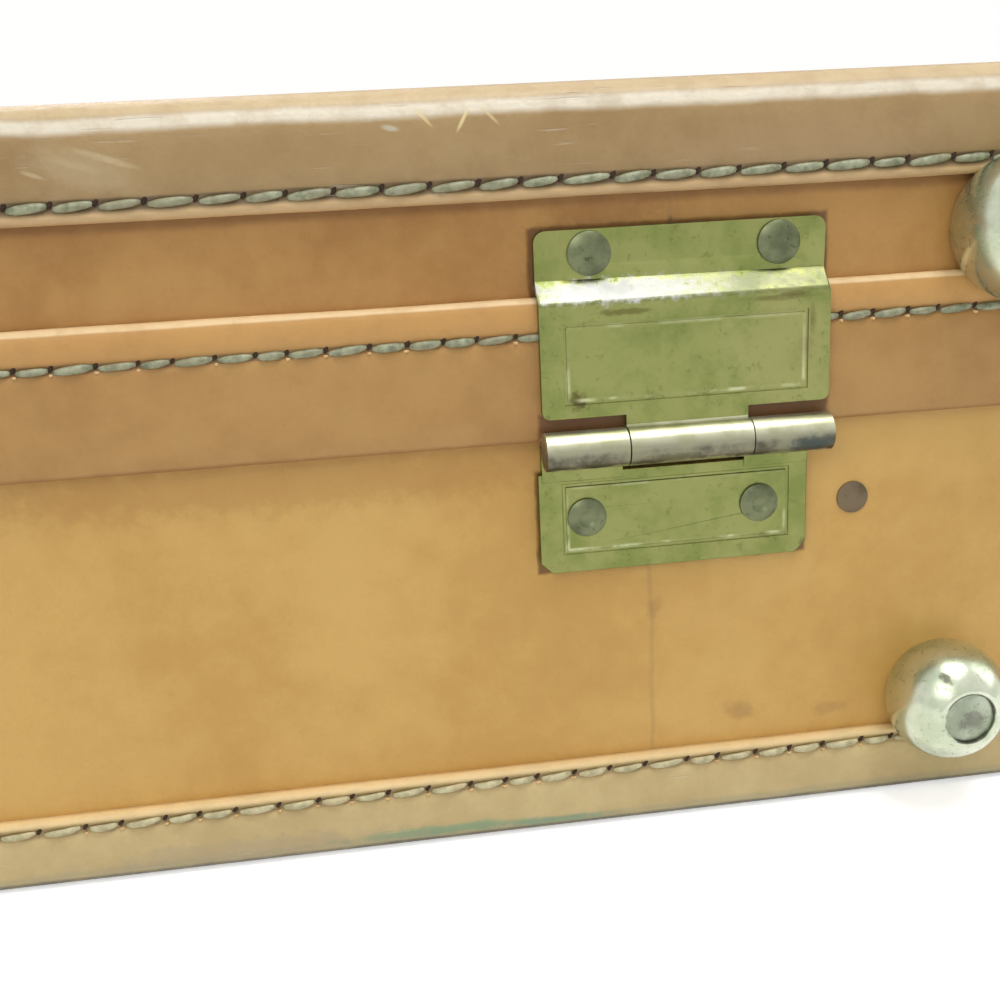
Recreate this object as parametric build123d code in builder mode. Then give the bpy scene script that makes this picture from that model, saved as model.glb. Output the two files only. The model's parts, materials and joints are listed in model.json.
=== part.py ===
from build123d import *
import os
from math import asin, cos, degrees, radians, sin

# A hard-sided leather attache case, lying on its base, in millimetres.
# X runs along its length, +Y points at the hinged back and +Z at the lid.
# The origin is the middle of the underside. "Left" is -X, the hinge in the photograph.

# Case: size over the wall leather, and the layers of a wall from the outside in
case_length = 457.0
case_width = 330.0
case_height = 100.5
corner_radius = 14.0
leather = 2.0
board = 4.0
lining = 0.8

# Heights of the seams above the underside
base_binding_top = 10.0
base_rim = 58.5
lid_rim = 58.8
valance_low = 56.0
valance_top = 74.5
lid_binding_low = 86.7

# Leather sewn on over the wall leather
binding_proud = 2.0
binding_turn = 8.0
base_edge_round = 2.2
lid_edge_round = 2.8
binding_edge_round = 0.6
valance_proud = 2.2
valance_bevel = 0.7
lip_clearance = 0.35
lip_top = 59.2
lip_round = 0.5
lining_set_down = 0.5

# Hinges: each stands at +-hinge_x, and its own sizes run outwards from there
hinge_x = 136.0
hinge_axis_out = 3.7
hinge_axis_z = 55.1
knuckle_radius = 2.52
hinge_pin_radius = 1.2
barrel_length = 38.0
centre_knuckle = 16.2
knuckle_gap = 0.15
barrel_clearance = 0.4
leaf_thickness = 1.2
web_thickness = 1.35
web_lap = 1.0
lid_leaf_top = 82.7
lid_leaf_low = 59.2
lid_leaf_step = 76.2
lid_leaf_step_drop = 2.3
lid_leaf_relief = (0.1, 1.0)
lid_leaf_corners = {"top": 1.5, "low": 1.0}
lid_leaf_border = ((-16.1, 16.1), (60.9, 71.3))
base_leaf_ends = (-19.5, 17.0)
base_leaf_heights = (37.8, 51.4)
base_leaf_corner = 1.5
base_leaf_border = ((-16.4, 14.5), (40.3, 50.0))
border_width = 0.45
border_depth = 0.2
lid_hinge_rivets = [(-12.0, 79.7), (12.7, 79.7)]
base_hinge_rivets = [(-13.2, 45.3), (10.3, 45.3)]
tack_rivet = (24.0, 44.5)

# Ball feet on the back, and their rivets
base_foot = {"x": 36.6, "z": 15.4, "out": 5.0, "radius": 8.3}
lid_foot = {"x": 45.0, "z": 80.0, "out": 4.5, "radius": 9.7}
foot_reach = 12.2
foot_wall = 1.4
foot_recess_gap = 0.3
foot_recess_depth = 0.6

# Handle on the front of the base
handle_mount_x = 54.0
handle_axis_out = 5.2
handle_axis_z = 44.0
handle_plate = 1.5
handle_plate_half_width = 7.0
handle_plate_rises = (-11.0, 9.5)
handle_plate_corner = 2.0
handle_rivet_rises = (-7.7, 6.6)
handle_roll_half_width = 5.2
handle_roll_radius = 3.6
loop_wire = 2.0
loop_half_width = 8.0
loop_drop = 16.0

# Locks on the front: a case on the base and a hinged hasp on the lid
lock_x = 150.0
lock_half_width = 20.0
lock_heights = (15.0, 51.0)
lock_depth = 6.0
lock_sheet = 0.8
lock_edge_round = 1.2
lock_flange = 0.9
lock_flange_half_width = 24.0
lock_flange_beyond = 2.0
lock_rivet_offset = 22.0
lock_rivet_heights = (17.0, 49.0)
keyhole_z = 20.6
keyhole_radius = 1.5
keyhole_slot_half = 0.7
keyhole_slot_drop = 3.2

# Hasps: each stands at +-lock_x, and its tongue goes into the lock case
hasp_axis_out = 5.7
hasp_axis_z = 60.0
hasp_knuckle_radius = 2.3
hasp_knuckle_half = 8.1
hasp_knuckle_gap = 0.2
hasp_web_half = 1.6
hasp_pin_radius = 1.15
hasp_half_width = 11.0
hasp_out = (6.4, 7.9)
hasp_heights = (32.5, 56.8)
hasp_neck_low = 56.0
hasp_corner = 4.0
hasp_edge_round = 0.5
hasp_plate_half_width = 13.0
hasp_plate_heights = (58.2, 73.4)
hasp_plate_corner = 2.0
hasp_rivet_offset = 8.2
hasp_rivet_z = 68.6
lift_bar = {"out": 8.4, "z": 33.9, "radius": 1.3, "length": 12.0}
tongue_z = 40.0
tongue_half = (4.0, 1.4)
tongue_out = (3.0, 6.5)
tongue_clearance = 1.0

# Thumb buttons: each slides outwards, away from the handle, against a spring
button_travel = 5.0
button_z = 27.5
button_half = (7.0, 2.9)
button_out = (6.3, 9.0)
button_corner = 1.4
button_edge_round = 0.6
button_ribs = (-4.0, -2.0, 0.0, 2.0, 4.0)
rib_radius = 0.45
rib_length = 4.0
stem_half = (2.0, 1.5)
stem_clearance = (0.5, 0.4)
bolt_out = (3.2, 4.6)
bolt_plate_half_width = 9.0
bolt_plate_heights = (23.0, 34.5)
bolt_span = (4.6, 9.0)
bolt_top = 41.2
spring_span = (9.3, 15.9)
spring_turns = 8
spring_radius = 0.95
spring_wire = 0.22
spring_post = {"x": 17.0, "radius": 0.8, "out": (1.1, 5.3)}

# Lid stays on the end walls: the arm turns on the lid, and its pin runs round an arc
stay_pivot_in = 35.0
stay_pivot_up = 9.2
stay_length = 65.2
stay_angle = -34.4
track_centre_in = 53.9
track_centre_up = -41.7
track_radius = 37.9
track_from = 22.0
track_to = 119.3
stay_width = 7.0
stay_sheet = 1.6
stay_gap = 0.4
track_sheet = 1.2
track_width = 11.0
track_margins = (14.0, 13.0)
track_rivet_margins = (12.0, 11.0)
track_slot_clearance = 0.45
bracket_half_width = 8.0
bracket_rises = (-4.9, 13.5)
bracket_corner = 2.0
bracket_rivet_offset = 4.2
bracket_rivet_rise = 9.4
stay_pin_radius = 1.9
stay_pin_short = 0.3
stay_pin_head = {"radius": 2.8, "height": 0.8, "sunk": 0.2}
stay_stud_radius = 2.0
stay_stud_reach = 1.1
stay_stud_head = {"radius": 3.2, "height": 0.8}
stay_rivet_hold = 2.4
stay_hole_depth = 2.5

# Rivets: the shank they share, and the radius and height of each kind of head
rivet_shank = 1.4
rivet_rim_share = 0.35
rivet_dish_share = 0.55
lid_hinge_head = (2.8, 1.0)
base_hinge_head = (2.6, 1.0)
base_hinge_dish = 0.6
tack_head = (2.2, 0.6)
foot_head = (3.4, 0.5)
handle_head = (2.2, 0.9)
lock_head = (1.8, 0.7)
hasp_head = (2.2, 0.9)
stay_head = (2.2, 0.3)

# Fits: turning pins in their bores, and rivets in the holes they are set in. Cuts run past the
# faces that they open in, and holes through sheet metal have one length.
running = 0.06
setting = 0.05
overrun = 1.0
through = 8.0

back_wall = case_width / 2
front_wall = -case_width / 2
end_wall = case_length / 2
board_inner = leather + board
inside = leather + board + lining
floor_top = leather + board + lining
lid_ceiling = case_height - leather - board - lining
hinge_axis_y = back_wall + hinge_axis_out

os.makedirs("parts", exist_ok=True)


def save(piece, name):
    """Label a finished piece and write it under its name."""
    piece.part.label = name
    export_step(piece.part, f"parts/{name}.step")


def outline(inset, mode=Mode.ADD):
    """Plan outline of the case, moved in from the wall leather by inset."""
    RectangleRounded(case_length - 2 * inset, case_width - 2 * inset, corner_radius - inset, mode=mode)


def slab(low, high, inset, mode=Mode.ADD):
    """Solid plate with the case's outline between two heights."""
    with BuildSketch(Plane.XY.offset(low)) as plan:
        outline(inset)
    extrude(plan.sketch, amount=high - low, mode=mode)


def band(low, high, outer, inner):
    """Wall that follows the case's outline between two heights."""
    with BuildSketch(Plane.XY.offset(low)) as plan:
        outline(outer)
        outline(inner, mode=Mode.SUBTRACT)
    extrude(plan.sketch, amount=high - low)


def block(x_span, y_span, z_span, mode=Mode.ADD):
    """Rectangular block between two values on each axis, in either order."""
    spans = (x_span, y_span, z_span)
    middle = [sum(span) / 2 for span in spans]
    sizes = [abs(span[1] - span[0]) for span in spans]
    with Locations(Location(middle)):
        Box(*sizes, mode=mode)


def rod(middle, along, radius, length, mode=Mode.ADD):
    """Round bar or bore about its middle, along x, y or z."""
    turn = {"x": (0, 90, 0), "y": (90, 0, 0), "z": (0, 0, 0)}[along]
    with Locations(Location(middle, turn)):
        Cylinder(radius, length, mode=mode)


def ball(middle, radius, mode=Mode.ADD):
    """Sphere about its middle."""
    with Locations(Location(middle)):
        Sphere(radius, mode=mode)


def rivet(seat, outward, head_radius, head_height, grip, dish=0.0):
    """Rivet: a low domed head on its seat, dished if it is tubular, and a shank going in by grip."""
    outward = Vector(*outward)
    rim = rivet_rim_share * head_height
    crown = head_height - rim
    cap_radius = (head_radius**2 + crown**2) / (2 * crown)
    cap_start = degrees(asin((cap_radius - crown) / cap_radius))
    dish_radius = rivet_dish_share * head_radius

    def place(height):
        return Locations(Location(Plane(origin=Vector(*seat) + outward * height, z_dir=outward)))

    with place(-grip / 2):
        Cylinder(rivet_shank, grip)
    with place(rim / 2):
        Cylinder(head_radius, rim)
    with place(head_height - cap_radius):
        Sphere(cap_radius, cap_start, 90, 360, align=(Align.CENTER, Align.CENTER, Align.NONE))
    if dish > 0:
        bowl_radius = (dish_radius**2 + dish**2) / (2 * dish)
        with place(head_height - dish + bowl_radius):
            Sphere(bowl_radius, mode=Mode.SUBTRACT)


def from_hinge(side, out):
    """X of a point that lies a given way out from a hinge's middle, on one side of the case."""
    return side * (hinge_x + out)


def back_bores(points, radius, out_face):
    """Rivet holes right through the back wall, from (x, z) pairs."""
    depth = out_face + board_inner
    for x, z in points:
        rod((x, back_wall + out_face - depth / 2, z), "y", radius, depth, mode=Mode.SUBTRACT)


def front_bores(points, radius, out_face):
    """Rivet holes right through the front wall, from (x, z) pairs."""
    depth = out_face + board_inner
    for x, z in points:
        rod((x, front_wall - out_face + depth / 2, z), "y", radius, depth, mode=Mode.SUBTRACT)


sides = {"left": -1, "right": 1}

# Where the rivets stand, as (x, z) on the back and front walls
base_back_rivets = [(from_hinge(s, u), z) for s in sides.values() for u, z in base_hinge_rivets]
tack_rivets = [(from_hinge(s, tack_rivet[0]), tack_rivet[1]) for s in sides.values()]
lid_back_rivets = [(from_hinge(s, u), z) for s in sides.values() for u, z in lid_hinge_rivets]
base_foot_rivets = [(from_hinge(s, base_foot["x"]), base_foot["z"]) for s in sides.values()]
lid_foot_rivets = [(from_hinge(s, lid_foot["x"]), lid_foot["z"]) for s in sides.values()]
handle_rivets = [(s * handle_mount_x, handle_axis_z + rise)
                 for s in sides.values() for rise in handle_rivet_rises]
lock_rivets = [(s * lock_x + way * lock_rivet_offset, z)
               for s in sides.values() for way in (-1, 1) for z in lock_rivet_heights]
hasp_rivets = [(s * lock_x + way * hasp_rivet_offset, hasp_rivet_z)
               for s in sides.values() for way in (-1, 1)]

# Where the stay's rivets stand, as (y, z) on the end walls
track_rivets = []
for angle in (track_from - track_rivet_margins[0], track_to + track_rivet_margins[1]):
    rivet_y = hinge_axis_y - track_centre_in - track_radius * cos(radians(angle))
    rivet_z = hinge_axis_z + track_centre_up + track_radius * sin(radians(angle))
    track_rivets.append((rivet_y, rivet_z))
stay_pivot_y = hinge_axis_y - stay_pivot_in
stay_pivot_z = hinge_axis_z + stay_pivot_up
bracket_rivet_z = stay_pivot_z + bracket_rivet_rise
bracket_rivets = [(stay_pivot_y + way * bracket_rivet_offset, bracket_rivet_z) for way in (-1, 1)]
inside_x = end_wall - inside

hole = rivet_shank + setting
base_back_holes = base_back_rivets + tack_rivets + base_foot_rivets
lid_back_holes = lid_back_rivets + lid_foot_rivets


def end_bores(points, first_inset, last_inset):
    """Rivet holes in both end walls, from (y, z) pairs, between two depths in the wall."""
    middle = end_wall - (first_inset + last_inset) / 2
    for side in sides.values():
        for y, z in points:
            rod((side * middle, y, z), "x", hole, last_inset - first_inset, mode=Mode.SUBTRACT)


# Backing plates are let into the inner face of the board, under the lining
plate_depth = 1.2
base_plate_spans = ((-17.0, 28.0), (40.0, 50.0))
lid_plate_spans = ((-17.0, 17.0), (74.6, 84.6))


def backing_pockets(spans):
    """Recesses in the back board for one body's hinge backing plates."""
    (u_low, u_high), z_span = spans
    for side in sides.values():
        x_span = (from_hinge(side, u_low), from_hinge(side, u_high))
        y_span = (back_wall - board_inner, back_wall - board_inner + plate_depth)
        block(x_span, y_span, z_span, mode=Mode.SUBTRACT)


# Base frame: four board walls with rounded corners round a floor board
with BuildPart() as base_frame_walls:
    band(leather, base_rim, leather, board_inner)
    back_bores(base_back_holes, hole, 0)
    front_bores(handle_rivets + lock_rivets, hole, 0)
    end_bores(track_rivets, board_inner - stay_hole_depth, board_inner)
    backing_pockets(base_plate_spans)
save(base_frame_walls, "base_frame_walls")

with BuildPart() as base_floor_board:
    slab(leather, leather + board, board_inner)
save(base_floor_board, "base_floor_board")

# Base leathers: the wall band, the bottom panel, and the binding sewn round their edge
with BuildPart() as base_wall_leather:
    band(leather, base_rim, 0, leather)
    back_bores(base_back_holes, hole, 0)
    front_bores(handle_rivets + lock_rivets, hole, 0)
save(base_wall_leather, "base_wall_leather")

with BuildPart() as base_bottom_leather:
    slab(0, leather, binding_turn)
save(base_bottom_leather, "base_bottom_leather")

with BuildPart() as base_binding:
    slab(0, base_binding_top, -binding_proud)
    fillet(base_binding.edges().group_by(Axis.Z)[0], base_edge_round)
    fillet(base_binding.edges().group_by(Axis.Z)[-1], binding_edge_round)
    slab(leather, base_binding_top, 0, mode=Mode.SUBTRACT)
    slab(0, leather, binding_turn, mode=Mode.SUBTRACT)
save(base_binding, "base_binding")

# Base lining
with BuildPart() as base_lining_walls:
    band(leather + board, base_rim - lining_set_down, board_inner, inside)
    end_bores(track_rivets, board_inner, inside)
save(base_lining_walls, "base_lining_walls")

with BuildPart() as base_lining_floor:
    slab(leather + board, floor_top, inside)
save(base_lining_floor, "base_lining_floor")

# Lid frame: four board walls round a top board
lid_board_low = case_height - leather - board
with BuildPart() as lid_frame_walls:
    band(lid_rim, case_height - leather, leather, board_inner)
    back_bores(lid_back_holes, hole, 0)
    front_bores(hasp_rivets, hole, 0)
    end_bores(bracket_rivets, board_inner - stay_hole_depth, board_inner)
    backing_pockets(lid_plate_spans)
save(lid_frame_walls, "lid_frame_walls")

with BuildPart() as lid_top_board:
    slab(lid_board_low, lid_board_low + board, board_inner)
save(lid_top_board, "lid_top_board")

# Lid leathers: the wall band, the top panel, and the binding sewn round their edge
with BuildPart() as lid_wall_leather:
    band(lid_rim, case_height - leather, 0, leather)
    back_bores(lid_back_holes, hole, 0)
    front_bores(hasp_rivets, hole, 0)
save(lid_wall_leather, "lid_wall_leather")

with BuildPart() as lid_top_leather:
    slab(case_height - leather, case_height, binding_turn)
save(lid_top_leather, "lid_top_leather")

with BuildPart() as lid_binding:
    slab(lid_binding_low, case_height, -binding_proud)
    fillet(lid_binding.edges().group_by(Axis.Z)[-1], lid_edge_round)
    fillet(lid_binding.edges().group_by(Axis.Z)[0], binding_edge_round)
    slab(lid_binding_low, case_height - leather, 0, mode=Mode.SUBTRACT)
    slab(case_height - leather, case_height, binding_turn, mode=Mode.SUBTRACT)
save(lid_binding, "lid_binding")

# Valance: the band sewn round the lid's lower edge, whose free lip hangs over the base wall
with BuildPart() as lid_valance:
    slab(valance_low, valance_top, -valance_proud)
    chamfer(lid_valance.edges().group_by(Axis.Z)[-1], valance_bevel)
    fillet(lid_valance.edges().group_by(Axis.Z)[0], lip_round)
    slab(lip_top, valance_top, 0, mode=Mode.SUBTRACT)
    slab(valance_low, lip_top, -lip_clearance, mode=Mode.SUBTRACT)
    for side in sides.values():
        barrel_middle = (from_hinge(side, 0), hinge_axis_y, hinge_axis_z)
        recess_radius = knuckle_radius + barrel_clearance
        rod(barrel_middle, "x", recess_radius, barrel_length + overrun, mode=Mode.SUBTRACT)
    front_bores(hasp_rivets, hole, valance_proud)
save(lid_valance, "lid_valance")

# Lid lining, and the document pocket that hangs under the top board
with BuildPart() as lid_lining_walls:
    band(lid_rim + lining_set_down, lid_ceiling, board_inner, inside)
    end_bores(bracket_rivets, board_inner, inside)
save(lid_lining_walls, "lid_lining_walls")

with BuildPart() as lid_lining_top:
    slab(lid_ceiling, lid_board_low, board_inner)
save(lid_lining_top, "lid_lining_top")

pocket_half_length = 214.0
pocket_back = 150.0
pocket_mouth = -50.0
pocket_low = 82.0
pocket_sheet = 1.2
pocket_corner = 6.0
gusset_inset = 7.0
with BuildPart() as document_pocket_panel:
    with BuildSketch(Plane.XY.offset(pocket_low)):
        with Locations((0, (pocket_back + pocket_mouth) / 2)):
            RectangleRounded(2 * pocket_half_length, pocket_back - pocket_mouth, pocket_corner)
    extrude(amount=pocket_sheet)
save(document_pocket_panel, "document_pocket_panel")

with BuildPart() as document_pocket_gusset:
    gusset_low = pocket_low + pocket_sheet
    gusset_end = pocket_half_length - gusset_inset
    gusset_back = pocket_back - gusset_inset
    block((-gusset_end, gusset_end), (gusset_back - pocket_sheet, gusset_back), (gusset_low, lid_ceiling))
    for side in sides.values():
        x_span = (side * gusset_end, side * (gusset_end - pocket_sheet))
        block(x_span, (pocket_mouth + gusset_inset, gusset_back), (gusset_low, lid_ceiling))
save(document_pocket_gusset, "document_pocket_gusset")


def engraved_frame(side, u_span, z_span, out):
    """Fine grooved rectangle on a hinge leaf's outer face."""
    middle_x = from_hinge(side, sum(u_span) / 2)
    plane = Plane(origin=(middle_x, back_wall + out, sum(z_span) / 2), x_dir=(1, 0, 0), z_dir=(0, 1, 0))
    width, height = u_span[1] - u_span[0], z_span[1] - z_span[0]
    with BuildSketch(plane) as frame:
        Rectangle(width, height)
        Rectangle(width - 2 * border_width, height - 2 * border_width, mode=Mode.SUBTRACT)
    extrude(frame.sketch, amount=-border_depth, mode=Mode.SUBTRACT)


# Hinges: a stepped lid leaf, a flat base leaf, and a pin through their knuckles
for name, side in sides.items():
    middle_x = from_hinge(side, 0)
    half_barrel = barrel_length / 2
    axis_point = (middle_x, hinge_axis_y, hinge_axis_z)

    with BuildPart() as lid_leaf:
        face_out = valance_proud + leaf_thickness
        with BuildSketch(Plane.YZ.offset(middle_x)):
            with BuildLine():
                Polyline(
                    (back_wall, lid_leaf_top),
                    (back_wall + leaf_thickness, lid_leaf_top),
                    (back_wall + leaf_thickness, lid_leaf_step),
                    (back_wall + face_out, lid_leaf_step - lid_leaf_step_drop),
                    (back_wall + face_out, lid_leaf_low),
                    (back_wall + valance_proud, lid_leaf_low),
                    (back_wall + valance_proud, valance_top + lid_leaf_relief[0]),
                    (back_wall, valance_top + lid_leaf_relief[1]),
                    close=True,
                )
            make_face()
        extrude(amount=half_barrel, both=True)
        fillet(lid_leaf.edges().filter_by(Axis.Y).group_by(Axis.Z)[-1], lid_leaf_corners["top"])
        fillet(lid_leaf.edges().filter_by(Axis.Y).group_by(Axis.Z)[0], lid_leaf_corners["low"])
        engraved_frame(side, *lid_leaf_border, face_out)
        half_knuckle = centre_knuckle / 2
        x_span = (middle_x - half_knuckle, middle_x + half_knuckle)
        y_span = (back_wall + valance_proud, back_wall + face_out)
        block(x_span, y_span, (hinge_axis_z, lid_leaf_low + web_lap))
        rod(axis_point, "x", knuckle_radius, centre_knuckle)
        rod(axis_point, "x", hinge_pin_radius + running, centre_knuckle + overrun, mode=Mode.SUBTRACT)
        for u, z in lid_hinge_rivets:
            rod((from_hinge(side, u), back_wall, z), "y", hole, through, mode=Mode.SUBTRACT)
    save(lid_leaf, f"hinge_lid_leaf_{name}")

    with BuildPart() as base_leaf:
        u_low, u_high = base_leaf_ends
        z_low, z_high = base_leaf_heights
        x_span = (from_hinge(side, u_low), from_hinge(side, u_high))
        block(x_span, (back_wall, back_wall + leaf_thickness), (z_low, z_high))
        low_corners = base_leaf.edges().filter_by(Axis.Y).group_by(Axis.Z)[0]
        chamfer(low_corners, base_leaf_corner)
        engraved_frame(side, *base_leaf_border, leaf_thickness)
        gap = centre_knuckle / 2 + knuckle_gap
        for end in (-1, 1):
            u_span = sorted((end * gap, end * half_barrel))
            knuckle_x = from_hinge(side, sum(u_span) / 2)
            knuckle_length = u_span[1] - u_span[0]
            u_plate = (max(u_span[0], u_low), min(u_span[1], u_high))
            x_span = (from_hinge(side, u_plate[0]), from_hinge(side, u_plate[1]))
            block(x_span, (back_wall, back_wall + web_thickness), (z_high - web_lap, hinge_axis_z))
            knuckle_middle = (knuckle_x, hinge_axis_y, hinge_axis_z)
            rod(knuckle_middle, "x", knuckle_radius, knuckle_length)
            rod(knuckle_middle, "x", hinge_pin_radius, knuckle_length + overrun, mode=Mode.SUBTRACT)
        for u, z in base_hinge_rivets:
            rod((from_hinge(side, u), back_wall, z), "y", hole, through, mode=Mode.SUBTRACT)
    save(base_leaf, f"hinge_base_leaf_{name}")

with BuildPart() as hinge_pins:
    for side in sides.values():
        rod((from_hinge(side, 0), hinge_axis_y, hinge_axis_z), "x", hinge_pin_radius, barrel_length)
save(hinge_pins, "hinge_pins")

for plate_name, spans, points in (
    ("hinge_backing_plates_base", base_plate_spans, base_back_rivets + tack_rivets),
    ("hinge_backing_plates_lid", lid_plate_spans, lid_back_rivets),
):
    with BuildPart() as backing:
        (u_low, u_high), z_span = spans
        for side in sides.values():
            x_span = (from_hinge(side, u_low), from_hinge(side, u_high))
            y_span = (back_wall - board_inner, back_wall - board_inner + plate_depth)
            block(x_span, y_span, z_span)
        back_bores(points, hole, 0)
    save(backing, plate_name)

# Rivets on the back: low domes on the lid leaves, dished heads on the base leaves, and tacks
with BuildPart() as hinge_rivets_lid:
    for x, z in lid_back_rivets:
        seat = (x, back_wall + leaf_thickness, z)
        rivet(seat, (0, 1, 0), *lid_hinge_head, leaf_thickness + board_inner)
save(hinge_rivets_lid, "hinge_rivets_lid")

with BuildPart() as hinge_rivets_base:
    for x, z in base_back_rivets:
        seat = (x, back_wall + leaf_thickness, z)
        rivet(seat, (0, 1, 0), *base_hinge_head, leaf_thickness + board_inner, dish=base_hinge_dish)
save(hinge_rivets_base, "hinge_rivets_base")

with BuildPart() as tack_rivet_pair:
    for x, z in tack_rivets:
        rivet((x, back_wall, z), (0, 1, 0), *tack_head, board_inner)
save(tack_rivet_pair, "tack_rivets")

# Ball feet: hollow spun domes, flat on the outer end, each held by one rivet
for body, foot, seams in (
    ("base", base_foot, [((0, base_binding_top + setting), binding_proud + setting)]),
    ("lid", lid_foot, [((lip_top, valance_top + setting), valance_proud + setting),
                       ((lid_binding_low - setting, case_height), binding_proud + setting)]),
):
    for name, side in sides.items():
        with BuildPart() as ball_foot:
            x, z = from_hinge(side, foot["x"]), foot["z"]
            reach = 2 * foot["radius"]
            ball((x, back_wall + foot["out"], z), foot["radius"])
            x_span, z_span = (x - reach, x + reach), (z - reach, z + reach)
            y_outer = back_wall + foot_reach
            block(x_span, (back_wall - reach, back_wall), z_span, mode=Mode.SUBTRACT)
            block(x_span, (y_outer, y_outer + reach), z_span, mode=Mode.SUBTRACT)
            ball((x, back_wall + foot["out"], z), foot_reach - foot["out"] - foot_wall, mode=Mode.SUBTRACT)
            recess_radius = foot_head[0] + foot_recess_gap
            rod((x, y_outer, z), "y", recess_radius, 2 * foot_recess_depth, mode=Mode.SUBTRACT)
            rod((x, y_outer, z), "y", hole, through, mode=Mode.SUBTRACT)
            for seam_span, out in seams:
                block(x_span, (back_wall - overrun, back_wall + out), seam_span, mode=Mode.SUBTRACT)
        save(ball_foot, f"ball_foot_{body}_{name}")

for body, points in (("base", base_foot_rivets), ("lid", lid_foot_rivets)):
    with BuildPart() as foot_rivets:
        for x, z in points:
            seat_out = foot_reach - foot_recess_depth
            seat = (x, back_wall + seat_out, z)
            rivet(seat, (0, 1, 0), *foot_head, seat_out + board_inner)
    save(foot_rivets, f"foot_rivets_{body}")


def front(out):
    """Y of a point that lies a given way out from the front wall."""
    return front_wall - out


def wire_loop(x, wire, mode=Mode.ADD):
    """Rectangular wire loop of the handle, hanging from its top bar."""
    y = front(handle_axis_out)
    low = handle_axis_z - loop_drop
    for z in (handle_axis_z, low):
        rod((x, y, z), "x", wire, 2 * loop_half_width, mode=mode)
    for end in (-loop_half_width, loop_half_width):
        rod((x + end, y, (handle_axis_z + low) / 2), "z", wire, loop_drop, mode=mode)
        for z in (handle_axis_z, low):
            ball((x + end, y, z), wire, mode=mode)


# Handle: two mounts on the base, a wire loop in each, and a leather grip over a steel core
for name, side in sides.items():
    with BuildPart() as handle_mount:
        x = side * handle_mount_x
        plate_x = (x - handle_plate_half_width, x + handle_plate_half_width)
        plate_z = [handle_axis_z + rise for rise in handle_plate_rises]
        block(plate_x, (front(0), front(handle_plate)), plate_z)
        fillet(handle_mount.edges().filter_by(Axis.Y), handle_plate_corner)
        roll_x = (x - handle_roll_half_width, x + handle_roll_half_width)
        roll_z = (handle_axis_z - handle_roll_radius, handle_axis_z + handle_roll_radius)
        roll_length = 2 * handle_roll_half_width
        axis_point = (x, front(handle_axis_out), handle_axis_z)
        block(roll_x, (front(0), front(handle_axis_out)), roll_z)
        rod(axis_point, "x", handle_roll_radius, roll_length)
        rod(axis_point, "x", loop_wire + running, roll_length + overrun, mode=Mode.SUBTRACT)
        front_bores([point for point in handle_rivets if point[0] == x], hole, handle_plate)
    save(handle_mount, f"handle_mount_{name}")

with BuildPart() as handle_mount_rivets:
    for x, z in handle_rivets:
        rivet((x, front(handle_plate), z), (0, -1, 0), *handle_head, handle_plate + board_inner)
save(handle_mount_rivets, "handle_mount_rivets")

with BuildPart() as handle_loops:
    for side in sides.values():
        wire_loop(side * handle_mount_x, loop_wire)
save(handle_loops, "handle_loops")

# Grip sections from the middle to one end: x, distance out, height, half depth, half height
grip_sections = [
    (0.0, 8.6, 14.2, 7.0, 7.6),
    (24.0, 8.4, 14.8, 6.8, 7.2),
    (38.0, 7.6, 18.0, 5.4, 5.6),
    (48.0, 6.0, 23.6, 4.0, 4.2),
    (59.5, 5.2, 28.0, 3.6, 3.7),
]
core_half_length = 34.0
core_radius = 2.5
core_middle = (0, front(8.5), 14.6)
grip_stations = [(-x, *rest) for x, *rest in reversed(grip_sections[1:])] + grip_sections
with BuildPart() as handle_grip:
    for x, out, z, half_depth, half_height in grip_stations:
        plane = Plane(origin=(x, front(out), z), x_dir=(0, 1, 0), z_dir=(1, 0, 0))
        with BuildSketch(plane):
            Ellipse(half_depth, half_height)
    loft()
    for side in sides.values():
        wire_loop(side * handle_mount_x, loop_wire + setting, mode=Mode.SUBTRACT)
    rod(core_middle, "x", core_radius + setting, 2 * core_half_length, mode=Mode.SUBTRACT)
save(handle_grip, "handle_grip")

with BuildPart() as handle_core:
    rod(core_middle, "x", core_radius, 2 * core_half_length)
save(handle_core, "handle_core")

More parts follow.
